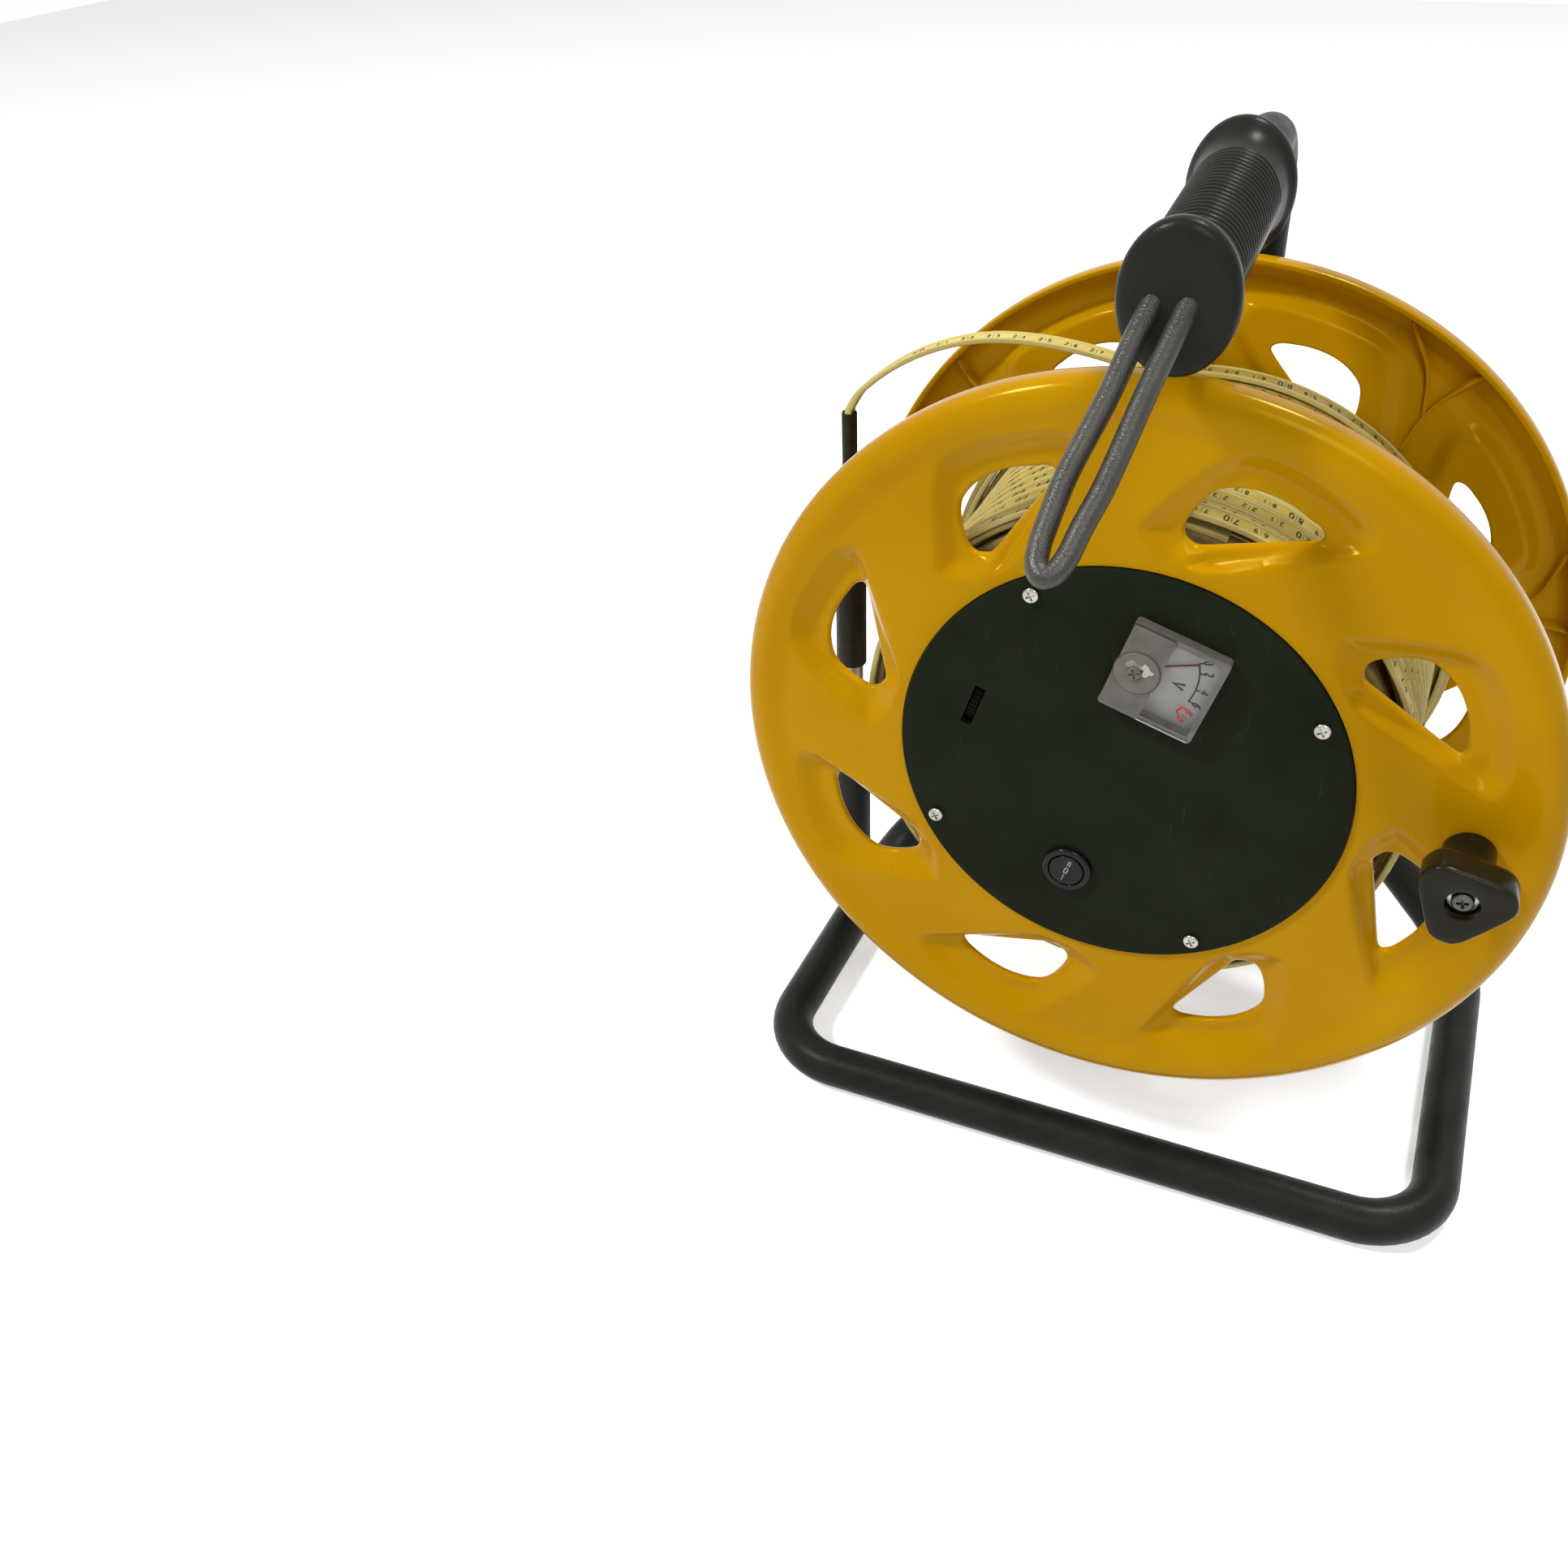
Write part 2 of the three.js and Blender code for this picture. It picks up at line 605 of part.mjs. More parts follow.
// Outer layer of the winding
const windingPath = [];
const windingLast = WINDING_LOOPS * WINDING_STEPS;
for (let k = 0; k <= windingLast; k += 1) {
  const a = rad(WINDING_LAST_DEG) - ((windingLast - k) * 2 * Math.PI) / WINDING_STEPS;
  const y = WINDING_LAST_Y - ((windingLast - k) * WINDING_PITCH) / WINDING_STEPS;
  windingPath.push(new THREE.Vector3(WINDING_R * Math.cos(a), y, HUB_Z + WINDING_R * Math.sin(a)));
}
const startOut = windingPath[0].clone().sub(windingPath[1]).normalize();
const lastIn = new THREE.Vector3(-Math.sin(rad(WINDING_LAST_DEG)), 0, Math.cos(rad(WINDING_LAST_DEG)));
windingPath.unshift(windingPath[0].clone().add(startOut.multiplyScalar(TAPE_WIDE)));
windingPath.push(windingPath[windingPath.length - 1].clone().add(lastIn.clone().multiplyScalar(TAPE_WIDE)));
const acrossReel = new THREE.Vector3(0, 1, 0);
add("tape_winding", swept(windingPath, () => tapeSection(), acrossReel), TAPE);
let least = Infinity;
for (let i = 0; i < windingPath.length; i += 1) {
  for (let j = i + WINDING_STEPS / 2; j < windingPath.length; j += 1) {
    least = Math.min(least, windingPath[i].distanceTo(windingPath[j]) - TAPE_WIDE);
  }
}
console.log("least gap between loops", least.toFixed(2), "mm");

// Free stretch of the tape, from where it is clear of the turning winding
const leaves = rad(TAPE_LEAVES_DEG);
const leaveLength = Math.sqrt(TAPE_CLEAR_R ** 2 - WINDING_R ** 2);
const freeStart = new THREE.Vector3(
  WINDING_R * Math.cos(leaves) - leaveLength * Math.sin(leaves),
  WINDING_LAST_Y,
  HUB_Z + WINDING_R * Math.sin(leaves) + leaveLength * Math.cos(leaves),
);
const freeCurve = new THREE.CatmullRomCurve3([freeStart, ...TAPE_ROUTE.map(vec)], false, "centripetal");
const FREE_STEPS = 26;
const freePath = [];
for (let k = 0; k <= FREE_STEPS; k += 1) {
  freePath.push(freeCurve.getPoint(k / FREE_STEPS));
}
const freeShare = (k) => {
  const f = (k / FREE_STEPS) * (TAPE_END_SHARES.length - 1);
  const i = Math.min(Math.floor(f), TAPE_END_SHARES.length - 2);
  return TAPE_END_SHARES[i] + (f - i) * (TAPE_END_SHARES[i + 1] - TAPE_END_SHARES[i]);
};
add("free_tape", swept(freePath, (k) => tapeSection(freeShare(k)), acrossReel), TAPE);

// Flange in the rear position, facing +Y; heights are outward distances
const rimProfile = [
  [LEDGE_IN_R, LEDGE_A - WEB],
  [LEDGE_OUT_R + WEB, LEDGE_A - WEB],
  [LEDGE_OUT_R + WEB, LAND_A - WEB],
  [RIM_R - RIM_FOOT + WEB / 2, LAND_A - WEB],
  [RIM_R - RIM_COVE, RIM_TOP_A - 1.3 * WEB],
  [RIM_R - LIP_THICK, LIP_A],
  [RIM_R, LIP_A],
  [RIM_R, RIM_SIDE_A],
  [RIM_R - RIM_SHOULDER, RIM_SHOULDER_A],
  [RIM_R - RIM_CREST, RIM_TOP_A],
  [RIM_R - RIM_FOOT, LAND_A],
  [LEDGE_OUT_R, LAND_A],
  [LEDGE_OUT_R, LEDGE_A],
  [LEDGE_IN_R, LEDGE_A],
];
const outlineShare = (RIM_R - LEDGE_OUT_R) / OUTLINE_WIDE;
const mirrored = (outline) => outline.map(([u, v]) => [-LEDGE_OUT_R - u * outlineShare, v * outlineShare]);
const outward = (outline) => new wasm.CrossSection([outline], "EvenOdd");
function pushed(section, a0, a1) {
  return section.extrude(a1 - a0).rotate([90, 0, 0]).translate([0, a1, 0]);
}
function makeFlange() {
  let body = turned(rimProfile, RIM_SEGMENTS);
  const pocket = outward(mirrored(POCKET));
  const mound = pocket.offset(POCKET_WALL, "Round", 2, 8);
  const limit = rod(RIM_R - RIM_COVE, 0, RIM_TOP_A, RIM_SEGMENTS);
  const mounds = [];
  const cuts = [];
  for (let i = 0; i < WINDOWS; i += 1) {
    const turn = [0, (i * 360) / WINDOWS, 0];
    mounds.push(pushed(mound, POCKET_A - POCKET_WALL, LAND_A - WEB / 2).rotate(turn).intersect(limit));
    cuts.push(pushed(pocket, POCKET_A, RIM_TOP_A + WEB).rotate(turn));
    cuts.push(pushed(outward(mirrored(WINDOW)), POCKET_A - 2 * POCKET_WALL, RIM_TOP_A).rotate(turn));
  }
  mounds.forEach((m) => {
    body = body.add(m);
  });
  cuts.forEach((c) => {
    body = body.subtract(c);
  });
  return body;
}
const flange = makeFlange();
const crankAt = [CRANK_R * Math.cos(rad(CRANK_DEG)), CRANK_R * Math.sin(rad(CRANK_DEG))];
const onCrank = (shape) => shape.translate([crankAt[0], 0, HUB_Z + crankAt[1]]);

// A screw circle point on the panel
function screwPoint(i) {
  const a = rad(SCREW_FIRST_DEG + (i * 360) / SCREW_COUNT);
  return [SCREW_CIRCLE_R * Math.cos(a), SCREW_CIRCLE_R * Math.sin(a)];
}
const atScrew = (shape, i) => shape.translate([screwPoint(i)[0], 0, HUB_Z + screwPoint(i)[1]]);
let frontFlange = onReel(flange.rotate([0, 0, 180]).rotate([0, -WINDOW_TURN, 0]));
frontFlange = frontFlange
  .subtract(onCrank(rod(CRANK_HOLE_R, -RIM_TOP_A, -LIP_A, 16)))
  .subtract(onCrank(rod(BOLT_WASHER_R + 2 * GAP, -LAND_A + WEB, -LIP_A, 24)));
for (let i = 0; i < SCREW_COUNT; i += 1) {
  frontFlange = frontFlange.subtract(atScrew(rod(SCREW_HOLE_R, -RIM_TOP_A, -LIP_A, 12), i));
}
add("front_flange", frontFlange, YELLOW);
add("rear_flange", onReel(flange.rotate([0, 180 - REAR_TURN, 0])), YELLOW);

// Rear cover with its domed boss
const coverProfile = [
  [BUSH_IN_R + GAP, COVER_BACK_A],
  [COVER_R, COVER_BACK_A],
  [COVER_R, COVER_A - COVER_EDGE],
  [COVER_R - COVER_EDGE / 2, COVER_A - COVER_EDGE / 3],
  [COVER_R - COVER_EDGE * 1.5, COVER_A],
  [BOSS_R + BOSS_ROUND, COVER_A],
  [BOSS_R, COVER_A + BOSS_ROUND],
  [BOSS_R - BOSS_ROUND, BOSS_A - 3 * BOSS_ROUND],
  [BOSS_R - 3 * BOSS_ROUND, BOSS_A - BOSS_ROUND],
  [BUSH_IN_R + GAP, BOSS_A],
];
add("rear_cover", onReel(turned(coverProfile, 40)), BLACK_GLOSS);

// Instrument panel with its cut-outs
const square = (side) => [
  [-side / 2, -side / 2], [side / 2, -side / 2], [side / 2, side / 2], [-side / 2, side / 2],
];
let panel = onReel(rod(PANEL_R, -PANEL_A, -PANEL_BACK_A, 48));
panel = panel.subtract(onPanel(prism(square(METER_HOLE_SIDE), -PANEL_A - PAST, -PANEL_BACK_A + PAST), METER_AT));
panel = panel.subtract(onPanel(rod(SWITCH_HOLE_R, -PANEL_A - PAST, -PANEL_BACK_A + PAST, 24), SWITCH_AT));
panel = panel.subtract(onPanel(block([SLOT_LONG, SLOT_LONG / 2, SLOT_WIDE], [0, -PANEL_A, 0]), SLOT_AT));
for (let i = 0; i < SCREW_COUNT; i += 1) {
  panel = panel.subtract(atScrew(rod(SCREW_HOLE_R, -PANEL_A - PAST, -PANEL_BACK_A + PAST, 12), i));
}
const inDrum = (shape, at) => onPanel(shape.translate([0, -at[1], 0]), [at[0], at[2]]);
const wheelDeep = PANEL_A - WHEEL_DEEP - WHEEL_R;
const postEnd = BOARD_AT[1] + BOARD_SIZE[1] / 2 + GAP;
for (const sx of [-1, 1]) {
  for (const sz of [-1, 1]) {
    const at = [BOARD_AT[0] + sx * POST_AT[0], BOARD_AT[2] + sz * POST_AT[1]];
    panel = panel.add(onPanel(rod(POST_R, -PANEL_BACK_A - PAST, -postEnd, 12), at));
  }
  const cheek = block([CHEEK_WIDE, CHEEK_LONG, CHEEK_THICK], [0, CHEEK_LONG / 2 - PANEL_BACK_A - GAP, 0])
    .translate([0, 0, sx * (CHEEK_IN + CHEEK_THICK / 2)])
    .subtract(rod(WHEEL_PIN_R + GAP, -WHEEL_R, WHEEL_R, 12).rotate([90, 0, 0]).translate([0, -wheelDeep, 0]));
  panel = panel.add(onPanel(cheek, SLOT_AT));
}
add("instrument_panel", panel, BLACK_MATTE);
const screwProfile = [
  [0, -PANEL_A - GAP - SCREW_HEAD],
  [SCREW_HEAD_R - SCREW_HEAD / 2, -PANEL_A - GAP - SCREW_HEAD],
  [SCREW_HEAD_R, -PANEL_A - GAP - SCREW_HEAD / 2],
  [SCREW_HEAD_R, -PANEL_A - GAP],
  [SCREW_SHANK_R, -PANEL_A - GAP],
  [SCREW_SHANK_R, -SCREW_TIP_A - SCREW_SHANK_R],
  [0, -SCREW_TIP_A],
];
for (let i = 0; i < SCREW_COUNT; i += 1) {
  add(`panel_screw_${i + 1}`, atScrew(turned(screwProfile, 12), i), STEEL);
}

// Meter
const meterBack = -PANEL_A - GAP;
const coverFront = meterBack - METER_PROUD;
let meterCover = prism(square(METER_SIDE), coverFront, meterBack);
meterCover = meterCover.subtract(prism(square(METER_SIDE - 2 * METER_WALL), coverFront + METER_WALL, meterBack + PAST));
const zeroBoss = rod(ZERO_BOSS_R, coverFront - BOSS_PROUD, coverFront + METER_WALL, 24).translate([0, 0, PIVOT_UP]);
meterCover = meterCover.add(zeroBoss).subtract(rod(ZERO_HOLE_R, coverFront - METER_PROUD, meterBack, 12).translate([0, 0, PIVOT_UP]));
add("meter_cover", onPanel(meterCover, METER_AT), CLEAR);
const dialBack = meterBack - GAP;
add("meter_case", onPanel(prism(square(METER_CASE_SIDE), meterBack, -METER_CASE_BACK_A), METER_AT), BLACK_MATTE);
add("meter_dial", onPanel(prism(square(DIAL_SIDE), dialBack - DIAL_THICK, dialBack), METER_AT), WHITE);
const needleBack = dialBack - DIAL_THICK - 2 * GAP;
const needle = prism(
  [[-NEEDLE_WIDE, -NEEDLE_TAIL], [NEEDLE_WIDE, -NEEDLE_TAIL], [NEEDLE_WIDE / 3, NEEDLE_LENGTH], [-NEEDLE_WIDE / 3, NEEDLE_LENGTH]],
  needleBack - NEEDLE_THICK,
  needleBack,
)
  .add(rod(NEEDLE_HUB_R, needleBack - NEEDLE_THICK, needleBack, 16))
  .rotate([0, -NEEDLE_REST_DEG, 0])
  .translate([0, 0, PIVOT_UP]);
add("meter_pointer", onPanel(needle, METER_AT), RED);
const zeroFront = coverFront - BOSS_PROUD - GAP;
const zeroProfile = [
  [0, zeroFront - ZERO_HEAD],
  [ZERO_HEAD_R, zeroFront - ZERO_HEAD],
  [ZERO_HEAD_R, zeroFront],
  [ZERO_SHANK_R, zeroFront],
  [ZERO_SHANK_R, coverFront + METER_WALL],
  [0, coverFront + METER_WALL],
];
add("meter_zero_screw", onPanel(turned(zeroProfile, 12).translate([0, 0, PIVOT_UP]), METER_AT), BLACK_MATTE);

// Rocker switch
const switchProfile = [
  [SWITCH_IN_R, meterBack - BEZEL_PROUD],
  [BEZEL_R - BEZEL_PROUD / 2, meterBack - BEZEL_PROUD],
  [BEZEL_R, meterBack - BEZEL_PROUD / 2],
  [BEZEL_R, meterBack],
  [SWITCH_OUT_R, meterBack],
  [SWITCH_OUT_R, -SWITCH_BACK_A],
  [0, -SWITCH_BACK_A],
  [0, -SWITCH_BACK_A - SWITCH_BACK],
  [SWITCH_IN_R, -SWITCH_BACK_A - SWITCH_BACK],
];
add("switch_body", onPanel(turned(switchProfile, 24), SWITCH_AT), BLACK_GLOSS);
add("switch_rocker", onPanel(rod(ROCKER_R, -ROCKER_A - ROCKER_HALF, -ROCKER_A + ROCKER_HALF, 24), SWITCH_AT), BLACK_GLOSS);

// Sensitivity wheel standing in its slot
const wheel = rod(WHEEL_R, -WHEEL_WIDE / 2, WHEEL_WIDE / 2, 30)
  .add(rod(WHEEL_PIN_R, -WHEEL_PIN_HALF, WHEEL_PIN_HALF, 12))
  .rotate([90, 0, 0])
  .translate([0, -wheelDeep, 0]);
add("sensitivity_wheel", onPanel(wheel, SLOT_AT), BLACK_RUBBER);

// Electronics
add("circuit_board", inDrum(block(BOARD_SIZE, [0, 0, 0]), BOARD_AT), BOARD_GREEN);
add("battery", inDrum(block(BATTERY_SIZE, [0, 0, 0]), BATTERY_AT), BLACK_MATTE);
const trayOut = BATTERY_SIZE.map((s) => s + 2 * (TRAY_WALL + GAP));
const trayIn = BATTERY_SIZE.map((s) => s + 2 * GAP);
const tray = block(trayOut, [0, 0, 0])
  .subtract(block([trayIn[0], trayIn[1] * 2, trayIn[2]], [0, trayIn[1] / 2, 0]));
add("battery_tray", inDrum(tray, BATTERY_AT), BLACK_MATTE);
add("buzzer", inDrum(rod(BUZZER_R, -BUZZER_LONG / 2, BUZZER_LONG / 2, 20), BUZZER_AT), BLACK_MATTE);

// Crank
const star = [];
for (let k = 0; k < STAR_STEPS; k += 1) {
  const a = (2 * Math.PI * k) / STAR_STEPS;
  const half = Math.PI / STAR_LOBES;
  const offFlat = Math.abs((((a - rad(STAR_TURN)) % (2 * half)) + 2 * half) % (2 * half) - half);
  const flat = STAR_FLAT_R / Math.cos(offFlat);
  const r = (STAR_OUT_R ** -STAR_CORNER + flat ** -STAR_CORNER) ** (-1 / STAR_CORNER);
  star.push([r * Math.cos(a), r * Math.sin(a)]);
}
const knob = prism(star, -CRANK_TOP_A, -CRANK_STAR_A)
  .add(rod(CRANK_NECK_R, -CRANK_STAR_A - PAST, -CRANK_FOOT_A, 24))
  .subtract(rod(CRANK_BORE_R, -CRANK_TOP_A - PAST, -CRANK_FOOT_A + PAST, 16))
  .subtract(rod(STAR_RECESS_R, -CRANK_TOP_A - PAST, -CRANK_TOP_A + STAR_RECESS, 20));
add("crank_knob", onCrank(knob), BLACK_GLOSS);
const washerBack = -CRANK_TOP_A + STAR_RECESS - GAP;
const crankWasher = ring(CRANK_BOLT_R + GAP, STAR_WASHER_R, washerBack - BOLT_WASHER, washerBack, 16);
add("crank_outer_washer", onCrank(crankWasher), STEEL);
const headBack = washerBack - BOLT_WASHER - GAP;
const innerBack = -LAND_A + WEB + GAP;
const nutFront = innerBack + WASHER_THICK + GAP;
const boltProfile = [
  [0, headBack - BOLT_HEAD],
  [BOLT_HEAD_R, headBack - BOLT_HEAD],
  [BOLT_HEAD_R, headBack],
  [CRANK_BOLT_R, headBack],
  [CRANK_BOLT_R, nutFront + CRANK_NUT + BOLT_END],
  [0, nutFront + CRANK_NUT + BOLT_END],
];
add("crank_bolt", onCrank(turned(boltProfile, 16)), STEEL);
const innerWasher = ring(CRANK_BOLT_R + GAP, BOLT_WASHER_R, innerBack, innerBack + WASHER_THICK, 16);
add("crank_inner_washer", onCrank(innerWasher), STEEL);
const crankNut = rod(CRANK_NUT_R, nutFront, nutFront + CRANK_NUT, 6)
  .subtract(rod(CRANK_BOLT_R + GAP, nutFront - PAST, nutFront + CRANK_NUT + PAST, 16));
add("crank_nut", onCrank(crankNut), STEEL);

// Probe, its sleeves and its holder; each is turned upright about Z
const upright = (profile, sides) =>
  turned(profile.map(([r, z]) => [r, z]), sides).rotate([90, 0, 0]).translate([PROBE_AT[0], PROBE_AT[1], 0]);
const holder = upright(
  [[HOLDER_IN_R, HOLDER_FOOT_Z], [HOLDER_OUT_R, HOLDER_FOOT_Z], [HOLDER_OUT_R, HOLDER_TOP_Z], [HOLDER_IN_R, HOLDER_TOP_Z]],
  24,
).subtract(rod(TUBE_R + GAP, BASE_FRONT_Y, UPRIGHT_Y, 32).translate([-BASE_HALF_X, 0, TUBE_R]));
add("probe_holder", holder, BLACK_PAINT);
const probeProfile = [
  [0, PROBE_FOOT_Z],
  [PROBE_R * NOSE_SHARES[0][0], PROBE_FOOT_Z + PROBE_NOSE * NOSE_SHARES[0][1]],
  [PROBE_R * NOSE_SHARES[1][0], PROBE_FOOT_Z + PROBE_NOSE * NOSE_SHARES[1][1]],
  [PROBE_R, PROBE_FOOT_Z + PROBE_NOSE],
  [PROBE_R, PROBE_TOP_Z],
  [0, PROBE_TOP_Z],
];
add("probe_body", upright(probeProfile, 24), STEEL);
const sleeveProfile = [
  [PROBE_R + GAP, SLEEVE_FOOT_Z],
  [SLEEVE_R, SLEEVE_FOOT_Z],
  [SLEEVE_R, SLEEVE_SHOULDER_Z],
  [SLEEVE_R * SHOULDER_SHARE, SLEEVE_TOP_Z - SLEEVE_R * (1 - SHOULDER_SHARE)],
  [THIN_R + GAP, SLEEVE_TOP_Z],
  [THIN_R + GAP, SLEEVE_STEP_Z],
  [PROBE_R + GAP, SLEEVE_STEP_Z],
];
add("probe_sleeve", upright(sleeveProfile, 24), BLACK_RUBBER);
add("cable_sleeve", upright([[0, THIN_FOOT_Z], [THIN_R, THIN_FOOT_Z], [THIN_R, THIN_TOP_Z], [0, THIN_TOP_Z]], 16), BLACK_RUBBER);

export default group;
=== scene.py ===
import json
import math
import bmesh
import bpy
import numpy as np
from mathutils import Matrix, Vector

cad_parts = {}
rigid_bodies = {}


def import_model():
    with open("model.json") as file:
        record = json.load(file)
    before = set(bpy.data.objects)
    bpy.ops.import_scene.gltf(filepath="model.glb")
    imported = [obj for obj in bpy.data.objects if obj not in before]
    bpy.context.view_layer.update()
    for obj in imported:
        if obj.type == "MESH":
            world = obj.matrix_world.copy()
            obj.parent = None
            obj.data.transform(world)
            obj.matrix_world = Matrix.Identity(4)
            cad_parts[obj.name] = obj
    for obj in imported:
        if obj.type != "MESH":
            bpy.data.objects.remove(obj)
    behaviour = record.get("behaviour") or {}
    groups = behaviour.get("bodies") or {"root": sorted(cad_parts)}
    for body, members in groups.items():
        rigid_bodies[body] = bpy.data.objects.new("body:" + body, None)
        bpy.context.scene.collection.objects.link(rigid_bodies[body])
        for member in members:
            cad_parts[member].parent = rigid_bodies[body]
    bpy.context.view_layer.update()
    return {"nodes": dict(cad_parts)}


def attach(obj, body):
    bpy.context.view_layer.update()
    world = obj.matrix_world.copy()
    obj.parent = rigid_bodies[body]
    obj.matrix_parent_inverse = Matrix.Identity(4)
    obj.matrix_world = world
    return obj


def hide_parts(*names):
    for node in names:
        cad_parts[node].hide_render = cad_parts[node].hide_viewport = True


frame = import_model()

# Sizes are in millimetres, with the middle of the reel at y = 0, and reach() brings a point to metres
MM = 0.001
SHIFT_Y = 24.75
HUB_Z = 188.6
TUBE_R = 9
WINDINGS = 10
PROBE_X, PROBE_Y = -138, 22
BOX_FACES = [(0, 1, 2, 3), (7, 6, 5, 4), (0, 4, 5, 1), (1, 5, 6, 2), (2, 6, 7, 3), (3, 7, 4, 0)]


def reach(points):
    p = np.array(points, float).reshape(-1, 3)
    return (p + [0, SHIFT_Y, 0]) * MM


def unit(v):
    v = np.array(v, float)
    return v / np.linalg.norm(v)


def smooth_step(x):
    x = np.clip(x, 0, 1)
    return x * x * (3 - 2 * x)


def linear(rgb):
    c = np.array(rgb, float) / 255
    return [*(np.where(c < 0.04045, c / 12.92, ((c + 0.055) / 1.055) ** 2.4)), 1]


REEL_MIDDLE = tuple(reach([0, 0, HUB_Z])[0])

# Camera
camera_turn = Vector((0.959640, 0.238060, 0.368934))
camera_place = Vector((0.085110, -0.502069, 0.503686))
camera = bpy.data.objects.new("camera", bpy.data.cameras.new("camera"))
bpy.context.scene.collection.objects.link(camera)
camera.matrix_world = Matrix.Translation(camera_place) @ Matrix.Rotation(camera_turn.length, 4, camera_turn)
camera.data.sensor_width = 36
camera.data.sensor_fit = "HORIZONTAL"
camera.data.lens = 35.583
camera.data.shift_x = 0.0039
camera.data.shift_y = -0.0226
camera.data.clip_start = 0.01
bpy.context.scene.camera = camera
bpy.context.scene.view_settings.view_transform = "Standard"


# Light
def backdrop_rays(tree):
    """1 for camera rays and for those that gloss or glass sends on, so metal and glass show the backdrop."""
    path = tree.nodes.new("ShaderNodeLightPath")
    rays = path.outputs["Is Camera Ray"]
    for other in ("Is Transmission Ray", "Is Glossy Ray"):
        either = tree.nodes.new("ShaderNodeMath")
        either.operation = "MAXIMUM"
        tree.links.new(rays, either.inputs[0])
        tree.links.new(path.outputs[other], either.inputs[1])
        rays = either.outputs[0]
    return rays


def background(tree, colour, strength):
    n = tree.nodes.new("ShaderNodeBackground")
    n.inputs["Color"].default_value = (*colour, 1)
    n.inputs["Strength"].default_value = strength
    return n.outputs[0]


world = bpy.data.worlds.new("studio")
bpy.context.scene.world = world
world.use_nodes = True
sky = world.node_tree
sky.nodes.clear()
room_or_white = sky.nodes.new("ShaderNodeMixShader")
sky_out = sky.nodes.new("ShaderNodeOutputWorld")
sky.links.new(backdrop_rays(sky), room_or_white.inputs["Fac"])
sky.links.new(background(sky, (0.9, 0.95, 1), 0.2), room_or_white.inputs[1])
sky.links.new(background(sky, (1, 1, 1), 1), room_or_white.inputs[2])
sky.links.new(room_or_white.outputs[0], sky_out.inputs["Surface"])
AIM = (0, 0, 0.2)


def lamp(name, at, size, power, tint=(1, 1, 1)):
    data = bpy.data.lights.new(name, "AREA")
    data.shape = "DISK"
    data.size = size
    data.energy = power
    data.color = tint
    o = bpy.data.objects.new(name, data)
    bpy.context.scene.collection.objects.link(o)
    o.location = at
    o.rotation_euler = (Vector(AIM) - Vector(at)).to_track_quat("-Z", "Y").to_euler()


lamp("window_light", (-1.6, -1.1, 2.3), 0.4, 47, (1, 0.98, 0.95))
lamp("ceiling_light", (0.7, 0.9, 2.8), 0.6, 42)
lamp("front_fill", (1.0, -1.9, 2.4), 1.2, 25)

# Finishes, with the part of the noise that they use and the numbers of a colour mix's sockets
LOW, HIGH = 0.3, 0.7
SHARE_IN, UNDER_IN, OVER_IN, MIXED_OUT = 0, 6, 7, 2


